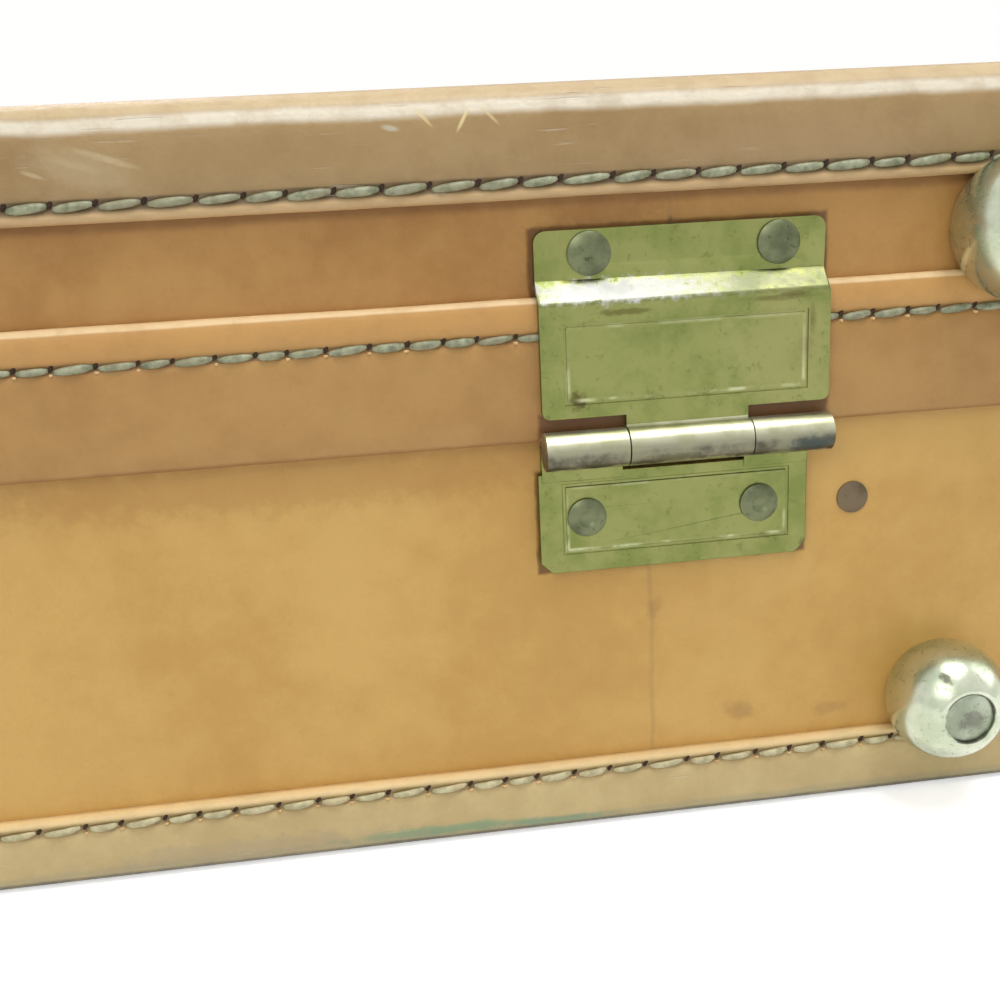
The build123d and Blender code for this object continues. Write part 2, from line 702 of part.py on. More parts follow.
# Locks: a sheet brass case riveted to the base, with a sliding thumb button and its bolt
for name, side in sides.items():
    x = side * lock_x
    case_x = (x - lock_half_width, x + lock_half_width)
    z_low, z_high = lock_heights

    with BuildPart() as lock_case:
        block(case_x, (front(0), front(lock_depth)), lock_heights)
        fillet(lock_case.edges().group_by(Axis.Y)[0], lock_edge_round)
        flange_x = (x - lock_flange_half_width, x + lock_flange_half_width)
        flange_z = (z_low - lock_flange_beyond, z_high + lock_flange_beyond)
        block(flange_x, (front(0), front(lock_flange)), flange_z)
        hollow_x = (case_x[0] + lock_sheet, case_x[1] - lock_sheet)
        hollow_z = (z_low + lock_sheet, z_high - lock_sheet)
        block(hollow_x, (front(0), front(lock_depth - lock_sheet)), hollow_z, mode=Mode.SUBTRACT)
        cut_y = (front(lock_depth - lock_sheet - overrun), front(lock_depth + overrun))
        open_half, open_rise = [half + tongue_clearance for half in tongue_half]
        open_x, open_z = (x - open_half, x + open_half), (tongue_z - open_rise, tongue_z + open_rise)
        block(open_x, cut_y, open_z, mode=Mode.SUBTRACT)
        slot_half, slot_rise = [half + clearance for half, clearance in zip(stem_half, stem_clearance)]
        slot_x = (x - side * slot_half, x + side * (slot_half + button_travel))
        block(slot_x, cut_y, (button_z - slot_rise, button_z + slot_rise), mode=Mode.SUBTRACT)
        rod((x, front(lock_depth), keyhole_z), "y", keyhole_radius, 2 * overrun, mode=Mode.SUBTRACT)
        key_slot_x = (x - keyhole_slot_half, x + keyhole_slot_half)
        block(key_slot_x, cut_y, (keyhole_z - keyhole_slot_drop, keyhole_z), mode=Mode.SUBTRACT)
        post_low, post_high = spring_post["out"]
        post_middle = (x - side * spring_post["x"], front((post_low + post_high) / 2), button_z)
        rod(post_middle, "y", spring_post["radius"], post_high - post_low)
        front_bores([point for point in lock_rivets if point[0] * side > 0], hole, lock_flange)
    save(lock_case, f"lock_case_{name}")

    with BuildPart() as latch_button:
        half, rise = button_half
        button_y = (front(button_out[0]), front(button_out[1]))
        block((x - half, x + half), button_y, (button_z - rise, button_z + rise))
        fillet(latch_button.edges().filter_by(Axis.Y), button_corner)
        fillet(latch_button.edges().group_by(Axis.Y)[0], button_edge_round)
        for rib in button_ribs:
            rod((x + rib, front(button_out[1]), button_z), "z", rib_radius, rib_length, mode=Mode.SUBTRACT)
        bolt_y = (front(bolt_out[0]), front(bolt_out[1]))
        stem_y = (front(bolt_out[0]), front(button_out[0] + button_edge_round))
        half, rise = stem_half
        block((x - half, x + half), stem_y, (button_z - rise, button_z + rise))
        block((x - bolt_plate_half_width, x + bolt_plate_half_width), bolt_y, bolt_plate_heights)
        bolt_x = (x + side * bolt_span[0], x + side * bolt_span[1])
        block(bolt_x, bolt_y, (bolt_plate_heights[0], bolt_top))
    save(latch_button, f"latch_button_{name}")

with BuildPart() as lock_springs:
    for side in sides.values():
        spring_low, spring_high = sorted(side * (lock_x - reach) for reach in spring_span)
        coil_length = spring_high - spring_low
        coil = Helix(pitch=coil_length / spring_turns, height=coil_length, radius=spring_radius,
                     center=(spring_low, front(sum(bolt_out) / 2), button_z), direction=(1, 0, 0))
        with BuildSketch(Plane(origin=coil @ 0, z_dir=coil % 0)) as wire:
            Circle(spring_wire)
        sweep(wire.sketch, path=coil, is_frenet=True)
save(lock_springs, "lock_springs")

with BuildPart() as lock_case_rivets:
    for x, z in lock_rivets:
        rivet((x, front(lock_flange), z), (0, -1, 0), *lock_head, lock_flange + board_inner)
save(lock_case_rivets, "lock_case_rivets")

# Hasps: a plate on the valance with two knuckles, a pin, and the hasp that drops over the lock
plate_out = valance_proud + leaf_thickness
for name, side in sides.items():
    x = side * lock_x
    hasp_axis = (x, front(hasp_axis_out), hasp_axis_z)

    with BuildPart() as hasp_plate:
        plate_x = (x - hasp_plate_half_width, x + hasp_plate_half_width)
        block(plate_x, (front(valance_proud), front(plate_out)), hasp_plate_heights)
        fillet(hasp_plate.edges().filter_by(Axis.Y).group_by(Axis.Z)[-1], hasp_plate_corner)
        for way in (-1, 1):
            knuckle_span = (x + way * (hasp_knuckle_half + hasp_knuckle_gap), x + way * hasp_plate_half_width)
            web_z = (hasp_axis_z - hasp_web_half, hasp_axis_z + hasp_web_half)
            block(knuckle_span, (front(valance_proud), front(hasp_axis_out)), web_z)
            middle = (sum(knuckle_span) / 2, front(hasp_axis_out), hasp_axis_z)
            length = abs(knuckle_span[1] - knuckle_span[0])
            rod(middle, "x", hasp_knuckle_radius, length)
            rod(middle, "x", hasp_pin_radius, length + setting, mode=Mode.SUBTRACT)
        for rivet_x, z in hasp_rivets:
            if rivet_x * side > 0:
                rod((rivet_x, front(valance_proud), z), "y", hole, through, mode=Mode.SUBTRACT)
    save(hasp_plate, f"hasp_plate_{name}")

    with BuildPart() as hasp:
        sheet_y = (front(hasp_out[0]), front(hasp_out[1]))
        block((x - hasp_half_width, x + hasp_half_width), sheet_y, hasp_heights)
        fillet(hasp.edges().filter_by(Axis.Y).group_by(Axis.Z)[0], hasp_corner)
        fillet(hasp.edges().group_by(Axis.Y)[0], hasp_edge_round)
        block((x - hasp_knuckle_half, x + hasp_knuckle_half), sheet_y, (hasp_neck_low, hasp_axis_z))
        rod((x, front(lift_bar["out"]), lift_bar["z"]), "x", lift_bar["radius"], lift_bar["length"])
        half, rise = tongue_half
        tongue_y = (front(tongue_out[0]), front(tongue_out[1]))
        block((x - half, x + half), tongue_y, (tongue_z - rise, tongue_z + rise))
        rod(hasp_axis, "x", hasp_knuckle_radius, 2 * hasp_knuckle_half)
        rod(hasp_axis, "x", hasp_pin_radius + running, 2 * hasp_knuckle_half + overrun, mode=Mode.SUBTRACT)
    save(hasp, f"hasp_{name}")

with BuildPart() as hasp_pins:
    for side in sides.values():
        pin_middle = (side * lock_x, front(hasp_axis_out), hasp_axis_z)
        rod(pin_middle, "x", hasp_pin_radius, 2 * hasp_plate_half_width)
save(hasp_pins, "hasp_pins")

with BuildPart() as hasp_plate_rivets:
    for x, z in hasp_rivets:
        rivet((x, front(plate_out), z), (0, -1, 0), *hasp_head, plate_out + board_inner)
save(hasp_plate_rivets, "hasp_plate_rivets")


def track_slot(angle_from, angle_to, height, x_from, x_to, mode=Mode.ADD):
    """Round-ended arc in the plane of an end wall, about the stay pin's centre of travel."""
    centre_y = hinge_axis_y - track_centre_in
    centre_z = hinge_axis_z + track_centre_up
    with BuildSketch(Plane.YZ.offset(min(x_from, x_to))) as slot:
        with BuildLine(mode=Mode.PRIVATE) as run:
            CenterArc((centre_y, centre_z), track_radius, 180 - angle_to, angle_to - angle_from)
        SlotArc(run.edges()[0], height)
    extrude(slot.sketch, amount=abs(x_to - x_from), mode=mode)


# Lid stays: a slotted track on the base, a bracket with a stud on the lid, and the arm between
for name, side in sides.items():
    wall_x = side * inside_x
    track_face = side * (inside_x - track_sheet)
    arm_outer = side * (inside_x - track_sheet - stay_gap)
    arm_inner = side * (inside_x - track_sheet - stay_gap - stay_sheet)
    pivot = (stay_pivot_y, stay_pivot_z)
    pin_y = stay_pivot_y - stay_length * cos(radians(stay_angle))
    pin_z = stay_pivot_z + stay_length * sin(radians(stay_angle))

    with BuildPart() as stay_track:
        ends = (track_from - track_margins[0], track_to + track_margins[1])
        track_slot(*ends, track_width, track_face, wall_x)
        slot_width = 2 * (stay_pin_radius + track_slot_clearance)
        track_slot(track_from, track_to, slot_width, track_face, wall_x, mode=Mode.SUBTRACT)
        for y, z in track_rivets:
            rod((wall_x, y, z), "x", hole, through, mode=Mode.SUBTRACT)
    save(stay_track, f"stay_track_{name}")

    with BuildPart() as stay_bracket:
        plate_y = (stay_pivot_y - bracket_half_width, stay_pivot_y + bracket_half_width)
        block((wall_x, track_face), plate_y, [stay_pivot_z + rise for rise in bracket_rises])
        fillet(stay_bracket.edges().filter_by(Axis.X), bracket_corner)
        stud_end = arm_inner - side * stay_stud_reach
        rod(((track_face + stud_end) / 2, *pivot), "x", stay_stud_radius, abs(stud_end - track_face))
        head_height = stay_stud_head["height"]
        rod((stud_end + side * head_height / 2, *pivot), "x", stay_stud_head["radius"], head_height)
        for y, z in bracket_rivets:
            rod((wall_x, y, z), "x", hole, through, mode=Mode.SUBTRACT)
    save(stay_bracket, f"stay_bracket_{name}")

    with BuildPart() as stay_arm:
        with BuildSketch(Plane.YZ.offset(min(arm_inner, arm_outer))):
            with Locations(((stay_pivot_y + pin_y) / 2, (stay_pivot_z + pin_z) / 2)):
                SlotCenterToCenter(stay_length, stay_width, rotation=-stay_angle)
        extrude(amount=stay_sheet)
        rod((arm_outer, *pivot), "x", stay_stud_radius + running, through, mode=Mode.SUBTRACT)
        pin_end = side * (inside_x - stay_pin_short)
        rod(((pin_end + arm_inner) / 2, pin_y, pin_z), "x", stay_pin_radius, abs(pin_end - arm_inner))
        head_height = stay_pin_head["height"]
        head_x = arm_inner - side * (head_height / 2 - stay_pin_head["sunk"])
        rod((head_x, pin_y, pin_z), "x", stay_pin_head["radius"], head_height)
    save(stay_arm, f"stay_arm_{name}")

with BuildPart() as stay_track_rivets:
    for side in sides.values():
        for y, z in track_rivets:
            seat = (side * (inside_x - track_sheet), y, z)
            rivet(seat, (-side, 0, 0), *stay_head, track_sheet + lining + stay_rivet_hold)
save(stay_track_rivets, "stay_track_rivets")

with BuildPart() as stay_bracket_rivets:
    for side in sides.values():
        for y, z in bracket_rivets:
            seat = (side * (inside_x - track_sheet), y, z)
            rivet(seat, (-side, 0, 0), *stay_head, track_sheet + lining + stay_rivet_hold)
save(stay_bracket_rivets, "stay_bracket_rivets")
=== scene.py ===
import bmesh
import bpy
import json
import math
import random
from mathutils import Matrix, Vector, noise

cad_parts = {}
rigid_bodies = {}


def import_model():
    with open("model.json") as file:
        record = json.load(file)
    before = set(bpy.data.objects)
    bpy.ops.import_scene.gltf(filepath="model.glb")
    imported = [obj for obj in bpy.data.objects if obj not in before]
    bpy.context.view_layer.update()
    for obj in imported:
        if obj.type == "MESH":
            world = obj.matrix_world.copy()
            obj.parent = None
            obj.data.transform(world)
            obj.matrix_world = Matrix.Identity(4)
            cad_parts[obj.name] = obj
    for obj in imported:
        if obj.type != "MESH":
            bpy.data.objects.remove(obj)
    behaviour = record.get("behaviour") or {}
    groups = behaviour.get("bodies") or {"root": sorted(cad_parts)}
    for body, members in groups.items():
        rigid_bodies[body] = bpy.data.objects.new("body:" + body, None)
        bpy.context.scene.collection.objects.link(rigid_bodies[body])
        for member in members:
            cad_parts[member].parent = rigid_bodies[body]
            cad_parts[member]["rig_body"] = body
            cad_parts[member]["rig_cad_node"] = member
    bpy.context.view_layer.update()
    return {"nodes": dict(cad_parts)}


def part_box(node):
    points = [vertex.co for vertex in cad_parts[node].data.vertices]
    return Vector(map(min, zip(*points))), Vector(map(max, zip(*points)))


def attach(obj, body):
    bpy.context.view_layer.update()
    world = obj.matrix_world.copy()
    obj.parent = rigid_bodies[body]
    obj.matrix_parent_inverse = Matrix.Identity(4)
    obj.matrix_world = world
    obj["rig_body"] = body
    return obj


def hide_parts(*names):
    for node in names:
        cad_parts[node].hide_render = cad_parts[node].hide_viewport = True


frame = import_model()
nodes = frame["nodes"]
mm = 0.001

# The case lies on its base with its hinged back towards +Y. The walls' outer faces, the hinge
# in the photograph and the heights of the seams are read from the construction.
wall_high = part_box("base_wall_leather")[1]
half_length = wall_high.x
half_width = wall_high.y
corner = 14.0 * mm
hinge_low, hinge_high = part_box("hinge_lid_leaf_left")
hinge_x = (hinge_low.x + hinge_high.x) / 2
axis_y = half_width + 3.7 * mm
axis_z = 55.1 * mm

# Camera: close behind the left hinge, a little above it and rolled by five degrees, as the
# photograph was taken. Its place is given from the hinge's middle and the back wall's face.
scene = bpy.context.scene
camera_data = bpy.data.cameras.new("camera")
camera = bpy.data.objects.new("camera", camera_data)
scene.collection.objects.link(camera)
camera_place = (hinge_x + 47.1 * mm, half_width + 166.9 * mm, 96.7 * mm)
camera_right = Vector((-0.98804, 0.14710, -0.04622))
camera_up = Vector((-0.08465, -0.26695, 0.95999))
camera_turn = Matrix((camera_right, camera_up, camera_right.cross(camera_up))).transposed()
camera.matrix_world = Matrix.Translation(camera_place) @ camera_turn.to_4x4()
camera_data.sensor_width = 36.0
camera_data.lens = 48.05
camera_data.clip_start = 0.01
scene.camera = camera
scene.view_settings.view_transform = "Standard"


def link(tree, value, socket):
    """Feed a socket from another socket or with a plain value."""
    if isinstance(value, bpy.types.NodeSocket):
        tree.links.new(value, socket)
    else:
        socket.default_value = value


def add(tree, kind, inputs=None, **settings):
    """Add a shader node, set it up and feed its inputs."""
    made = tree.nodes.new("ShaderNode" + kind)
    for key, value in settings.items():
        setattr(made, key, value)
    for key, value in (inputs or {}).items():
        link(tree, value, made.inputs[key])
    return made


def reckon(tree, operation, first, second=0.0, third=0.0, clamp=False):
    """One arithmetic node."""
    inputs = {0: first, 1: second, 2: third}
    return add(tree, "Math", inputs, operation=operation, use_clamp=clamp).outputs[0]


def times(tree, first, second):
    """One value times another."""
    return reckon(tree, "MULTIPLY", first, second)


def times_plus(tree, first, second, third):
    """One value times another, and a third added."""
    return reckon(tree, "MULTIPLY_ADD", first, second, third)


def minus(tree, first, second):
    """One value less another."""
    return reckon(tree, "SUBTRACT", first, second)


def apart(tree, first, second=0.0):
    """How far apart two values are."""
    return reckon(tree, "ABSOLUTE", minus(tree, first, second) if second else first)


def spread(tree, value, low, high, to_low=0.0, to_high=1.0):
    """Map a range of a value smoothly on to another."""
    inputs = {0: value, 1: low, 2: high, 3: to_low, 4: to_high}
    return add(tree, "MapRange", inputs, interpolation_type="SMOOTHSTEP").outputs[0]


def blend_colour(tree, factor, first, second):
    """Mix two colours."""
    return add(tree, "Mix", {0: factor, 6: first, 7: second}, data_type="RGBA").outputs[2]


def shade(*display):
    """A display colour, 0 to 255, as the linear colour that shaders use."""
    linear = [(c / 255 / 12.92) if c <= 10 else ((c / 255 + 0.055) / 1.055) ** 2.4 for c in display]
    return (*linear, 1.0)


# Studio: a plain white floor and surround with soft lamps. The floor and the surround show
# white to the camera and in polished metal, and the floor keeps half of the case's shadow.
def seen_directly(tree):
    """1 for what the camera sees, directly or in a mirror or glass."""
    path = add(tree, "LightPath").outputs
    mirrored = reckon(tree, "MAXIMUM", path["Is Glossy Ray"], path["Is Transmission Ray"])
    return reckon(tree, "MAXIMUM", path["Is Camera Ray"], mirrored)


bpy.ops.object.select_all(action="DESELECT")
bpy.ops.mesh.primitive_plane_add(size=6.0, location=(0, 0, 0))
floor = bpy.context.object
floor.name = "studio_floor"
floor_paint = bpy.data.materials.new("studio_floor")
floor_paint.use_nodes = True
tree = floor_paint.node_tree
tree.nodes.clear()
matt = add(tree, "BsdfDiffuse", {"Color": (0.84, 0.85, 0.86, 1)})
spot = add(tree, "TexCoord").outputs["Object"]
away = add(tree, "VectorMath", {0: spot}, operation="LENGTH").outputs["Value"]
shadow_end, floor_end = 0.5, 1.6
lift = times(tree, seen_directly(tree), spread(tree, away, shadow_end, floor_end, 0.5, 0.9))
glow = add(tree, "Emission", {"Color": (1, 1, 1, 1), "Strength": lift})
both = add(tree, "AddShader", {0: matt.outputs[0], 1: glow.outputs[0]})
tree.links.new(both.outputs[0], add(tree, "OutputMaterial").inputs["Surface"])
floor.data.materials.append(floor_paint)

world = bpy.data.worlds.new("studio")
scene.world = world
world.use_nodes = True
tree = world.node_tree
tree.nodes.clear()
room = add(tree, "Background", {"Color": (0.98, 1.0, 1.0, 1), "Strength": 0.34})
white = add(tree, "Background", {"Color": (1.0, 1.0, 0.985, 1), "Strength": 1.0})
mixed = add(tree, "MixShader", {0: seen_directly(tree), 1: room.outputs[0], 2: white.outputs[0]})
tree.links.new(mixed.outputs[0], add(tree, "OutputWorld").inputs["Surface"])


def lamp(name, place, target, size, power):
    """A square soft lamp that points at a spot on the case."""
    data = bpy.data.lights.new(name, "AREA")
    data.size = size
    data.energy = power
    held = bpy.data.objects.new(name, data)
    scene.collection.objects.link(held)
    held.location = place
    held.rotation_euler = (Vector(target) - Vector(place)).to_track_quat("-Z", "Y").to_euler()


lamp("ceiling_lamp", (hinge_x - 0.12, half_width + 0.16, 0.85), (hinge_x, half_width, 0.08), 0.4, 4.2)
lamp("window_lamp", (0.35, 0.95, 0.75), (hinge_x, half_width, 0.05), 0.6, 3.0)
lamp("front_lamp", (0.4, -1.0, 1.0), (0, 0, 0.05), 0.9, 7.0)
lamp("end_lamp", (-1.2, 0.1, 0.7), (-0.2, 0, 0.05), 0.8, 3.0)


def new_group(name, takes, gives):
    """A shader node group, with its input and output sockets."""
    group = bpy.data.node_groups.new(name, "ShaderNodeTree")
    for label, kind, default in takes:
        made = group.interface.new_socket(label, in_out="INPUT", socket_type="NodeSocket" + kind)
        made.default_value = default
    for label, kind in gives:
        group.interface.new_socket(label, in_out="OUTPUT", socket_type="NodeSocket" + kind)
    return group, group.nodes.new("NodeGroupInput").outputs, group.nodes.new("NodeGroupOutput").inputs


def use_group(tree, group, inputs):
    """Place a node group in a material."""
    made = tree.nodes.new("ShaderNodeGroup")
    made.node_tree = group
    for key, value in inputs.items():
        link(tree, value, made.inputs[key])
    return made.outputs


def clouds(tree, place, scale, detail, roughness=0.5, distortion=0.0):
    """Soft noise, from 0 to 1."""
    return add(tree, "TexNoise", {"Vector": place, "Scale": scale, "Detail": detail, "Roughness": roughness,
                                  "Distortion": distortion}).outputs[0]


# Vegetable-tanned hide: broad soft patches and small ones between a light and a dark tan, fine
# specks, and a shallow grain of pores and creases.
hide_group, take, give = new_group(
    "hide_surface",
    [("Vector", "Vector", (0, 0, 0)), ("Light", "Color", (1, 1, 1, 1)), ("Dark", "Color", (0, 0, 0, 1)),
     ("Patches", "Float", 30.0), ("Contrast", "Float", 0.6)],
    [("Colour", "Color"), ("Height", "Float"), ("Fine", "Float")])
tree, spot = hide_group, take["Vector"]
broad = clouds(tree, spot, take["Patches"], 3.0, 0.55)
middle = clouds(tree, spot, 190.0, 5.0, 0.6)
fine = clouds(tree, spot, 1500.0, 3.0, 0.65)
mottle = times_plus(tree, middle, 0.35, times(tree, broad, 0.65))
toned = spread(tree, mottle, 0.36, 0.64)
toned = reckon(tree, "MULTIPLY", toned, take["Contrast"], clamp=True)
colour = blend_colour(tree, toned, take["Light"], take["Dark"])
specks = spread(tree, fine, 0.56, 0.72)
colour = blend_colour(tree, times(tree, specks, 0.16), colour, take["Dark"])
link(tree, colour, give["Colour"])
pores = add(tree, "TexVoronoi", {"Vector": spot, "Scale": 1150.0}).outputs[0]
creases = clouds(tree, spot, 420.0, 6.0, 0.7)
height = times_plus(tree, creases, 0.8, times(tree, pores, 0.25))
link(tree, height, give["Height"])
link(tree, fine, give["Fine"])

# A soft ragged patch round a place, turned in the plane of the walls, for stains, rubs and
# single scratches.
patch_group, take, give = new_group(
    "ragged_patch",
    [("Vector", "Vector", (0, 0, 0)), ("Place", "Vector", (0, 0, 0)), ("Size", "Vector", (1, 1, 1)),
     ("Turn", "Float", 0.0), ("Grain", "Float", 400.0), ("Ragged", "Float", 0.6)],
    [("Mask", "Float")])
tree, spot = patch_group, take["Vector"]
moved = add(tree, "VectorMath", {0: spot, 1: take["Place"]}, operation="SUBTRACT")
turned = {"Vector": moved.outputs[0], "Angle": take["Turn"]}
turned = add(tree, "VectorRotate", turned, rotation_type="Y_AXIS")
scaled = add(tree, "VectorMath", {0: turned.outputs[0], 1: take["Size"]}, operation="DIVIDE")
reach = add(tree, "VectorMath", {0: scaled.outputs[0]}, operation="LENGTH").outputs["Value"]
rough = clouds(tree, spot, take["Grain"], 4.0, 0.65)
offset = times(tree, minus(tree, rough, 0.5), take["Ragged"])
reach = times_plus(tree, offset, 3.0, reach)
link(tree, spread(tree, reach, 0.35, 1.1, 1.0, 0.0), give["Mask"])

# A soft dark line round a rectangular fitting on a wall, where the hide is darkened and pressed in. Behind
# the hinge barrels on the valance this darkening is painted shade.
rim_group, take, give = new_group(
    "darkened_round_fitting",
    [("Vector", "Vector", (0, 0, 0)), ("Centre", "Vector", (0, 0, 0)), ("Half", "Vector", (1, 1, 1)),
     ("Width", "Float", 0.001)],
    [("Mask", "Float")])
tree, spot = rim_group, take["Vector"]
moved = add(tree, "VectorMath", {0: spot, 1: take["Centre"]}, operation="SUBTRACT")
folded = add(tree, "VectorMath", {0: moved.outputs[0]}, operation="ABSOLUTE")
past = add(tree, "VectorMath", {0: folded.outputs[0], 1: take["Half"]}, operation="SUBTRACT")
past = add(tree, "SeparateXYZ", {0: past.outputs[0]}).outputs
past = reckon(tree, "MAXIMUM", reckon(tree, "MAXIMUM", past["X"], past["Y"]), past["Z"])
rough = clouds(tree, spot, 500.0, 3.0)
past = times_plus(tree, minus(tree, rough, 0.5), take["Width"], past)
link(tree, spread(tree, past, 0.0, take["Width"], 1.0, 0.0), give["Mask"])

# Fine scratches that cross each other at low angles, as hair lines of stretched noise.
scratch_group, take, give = new_group(
    "fine_scratches",
    [("Vector", "Vector", (0, 0, 0)), ("Fineness", "Float", 1300.0), ("Bare", "Float", 0.7)],
    [("Mask", "Float")])
tree, spot = scratch_group, take["Vector"]
lines = None
for turn in (0.35, -0.5, 1.1, -1.2):
    turned = add(tree, "Mapping", {
        "Vector": take["Vector"], "Rotation": (0.0, turn, turn), "Scale": (0.08, 1.0, 1.0)}).outputs[0]
    streaks = clouds(tree, turned, take["Fineness"], 1.0)
    broken = clouds(tree, spot, 90.0 + 40.0 * turn, 2.0)
    edge = reckon(tree, "ADD", take["Bare"], 0.05)
    thin = add(tree, "MapRange", {0: streaks, 1: take["Bare"], 2: edge}).outputs[0]
    thin = times(tree, thin, spread(tree, broken, 0.5, 0.62))
    lines = thin if lines is None else reckon(tree, "MAXIMUM", lines, thin)
link(tree, lines, give["Mask"])


def start_material(name):
    """A new material with its output, a Principled shader and object coordinates."""
    paint = bpy.data.materials.new(name)
    paint.use_nodes = True
    tree = paint.node_tree
    tree.nodes.clear()
    shader = add(tree, "BsdfPrincipled")
    tree.links.new(shader.outputs[0], add(tree, "OutputMaterial").inputs["Surface"])
    where = add(tree, "TexCoord").outputs["Object"]
    return paint, tree, shader, where


def coat(tree, shader, colour, roughness, height=None, depth=0.0, strength=1.0):
    """Feed a Principled shader its colour, its roughness and a relief of a depth in metres."""
    link(tree, colour, shader.inputs["Base Color"])
    link(tree, roughness, shader.inputs["Roughness"])
    if height is not None:
        relief = add(tree, "Bump", {"Height": height, "Distance": depth, "Strength": strength}).outputs[0]
        link(tree, relief, shader.inputs["Normal"])


def metres(sizes):
    """Three sizes in millimetres as metres."""
    return [size * mm for size in sizes]


def ragged_patch(tree, where, place, size, turn, ragged, grain=400.0):
    """Mask of one patch, its place and half sizes in millimetres."""
    return use_group(tree, patch_group, {"Vector": where, "Place": metres(place), "Size": metres(size),
                                         "Turn": turn, "Ragged": ragged, "Grain": grain})["Mask"]


def hide(name, light, dark, patches, contrast, roughness, marks=(), face=(165.0, 6), levels=(), fittings=(),
         relief=0.12 * mm, scratched=0.0, seam_x=None):
    """Leather finish. marks are (x, z, half width, half height, turn, raggedness, colour, strength), on a
    face (y, half depth). levels are (from height, to height, softness, colour, strength), and fittings
    (centre, half size, width of the darkened rim). Some marks and levels are painted shade and painted
    highlights. Sizes are in millimetres, and colours as displayed."""
    paint, tree, shader, where = start_material(name)
    light, dark = shade(*light), shade(*dark)
    surface = use_group(tree, hide_group, {"Vector": where, "Light": light, "Dark": dark, "Patches": patches,
                                           "Contrast": contrast})
    colour, height = surface["Colour"], surface["Height"]
    if levels or seam_x:
        parts = add(tree, "SeparateXYZ", {0: where}).outputs
        sway = clouds(tree, where, 120.0, 3.0)
        worn = clouds(tree, where, 260.0, 4.0, 0.6)
    # Bands by height, uneven along their length: some are real dirt and wear, others painted shade and
    # painted highlights.
    for low, high, soft, tint, strength in levels:
        swayed = times_plus(tree, minus(tree, sway, 0.5), soft * 1.5 * mm, parts["Z"])
        above = spread(tree, swayed, (low - soft) * mm, (low + soft) * mm)
        below = spread(tree, swayed, (high - soft) * mm, (high + soft) * mm, 1.0, 0.0)
        level = times(tree, above, below)
        level = times(tree, level, spread(tree, worn, 0.3, 0.6, strength * 0.7, strength))
        colour = blend_colour(tree, level, colour, shade(*tint))
    # Darkened rim round each fitting; behind the hinge barrel on the valance it is painted shade.
    for centre, half, width in fittings:
        rim = use_group(tree, rim_group, {"Vector": where, "Centre": metres(centre), "Half": metres(half),
                                          "Width": width * mm})["Mask"]
        colour = blend_colour(tree, times(tree, rim, 0.75), colour, shade(84, 44, 24))
        height = times_plus(tree, rim, -0.8, height)
    for x, z, wide, tall, turn, ragged, tint, strength in marks:
        spot = ragged_patch(tree, where, (x, face[0], z), (wide, face[1], tall), turn, ragged)
        colour = blend_colour(tree, times(tree, spot, strength), colour, shade(*tint))
    if scratched:
        scores = use_group(tree, scratch_group, {"Vector": where, "Bare": 0.74 - 0.1 * scratched})["Mask"]
        pale = blend_colour(tree, 0.6, light, (1, 0.95, 0.85, 1))
        colour = blend_colour(tree, times(tree, scores, 0.22), colour, pale)
        height = times_plus(tree, scores, -0.5, height)
    if seam_x:
        gap = apart(tree, times_plus(tree, sway, 1.0 * mm, parts["X"]), seam_x + 0.5 * mm)
        seam = spread(tree, gap, 0.1 * mm, 0.5 * mm, 1.0, 0.0)
        seam = times(tree, seam, reckon(tree, "GREATER_THAN", parts["Y"], 0.0))
        colour = blend_colour(tree, times(tree, seam, 0.2), colour, shade(140, 120, 92))
        height = times_plus(tree, seam, -0.4, height)
    rough = spread(tree, surface["Fine"], 0.3, 0.7, roughness - 0.06, roughness + 0.08)
    coat(tree, shader, colour, rough, height, relief)
    shader.inputs["Specular IOR Level"].default_value = 0.42
    return paint


def darkened_round(middle_x, half_x, low_z, high_z, width=0.5):
    """Darkened rim round a leaf on the back, in millimetres; on the valance behind the barrel it is painted
    shade.
    """
    return (middle_x, 165.0, (low_z + high_z) / 2), (half_x, 10.0, (high_z - low_z) / 2), width


def dress(node_name, paint):
    """Give a carried-over node its finish."""
    data = nodes[node_name].data
    data.materials.clear()
    data.materials.append(paint)


# Frame: walls of pale board joined round the base and the lid, with a floor board and a top
# board let in. Only the rims show, with the case open.
paint, tree, shader, where = start_material("frame_board")
along = add(tree, "Mapping", {"Vector": where, "Scale": (1.0, 1.0, 14.0)}).outputs[0]
veins = clouds(tree, along, 60.0, 6.0, 0.6, distortion=0.6)
plies = clouds(tree, along, 400.0, 2.0)
grain = times_plus(tree, plies, 0.4, times(tree, veins, 0.6))
colour = blend_colour(tree, spread(tree, grain, 0.35, 0.65), shade(190, 158, 112), shade(168, 134, 88))
coat(tree, shader, colour, 0.72, grain, 0.1 * mm)
for name in ("base_frame_walls", "base_floor_board", "lid_frame_walls", "lid_top_board"):
    dress(name, paint)

# Lining: a fine cotton twill glued to the walls, the floor and the inside of the lid.
paint, tree, shader, where = start_material("lining_cloth")
diagonal = add(tree, "Mapping", {"Vector": where, "Rotation": (0.6, 0.6, 0.785)}).outputs[0]
warp = add(tree, "TexWave", {"Vector": diagonal, "Scale": 420.0, "Distortion": 0.8, "Detail": 2.0},
           bands_direction="X").outputs["Fac"]
weft = add(tree, "TexWave", {"Vector": where, "Scale": 300.0, "Distortion": 0.8, "Detail": 2.0},
           bands_direction="DIAGONAL").outputs["Fac"]
weave = times_plus(tree, warp, 0.6, times(tree, weft, 0.4))
slub = clouds(tree, where, 700.0, 3.0)
fade = clouds(tree, where, 9.0, 3.0)
colour = blend_colour(tree, weave, shade(150, 122, 84), shade(182, 154, 112))
colour = blend_colour(tree, spread(tree, slub, 0.5, 0.7, 0.0, 0.3), colour, shade(196, 170, 128))
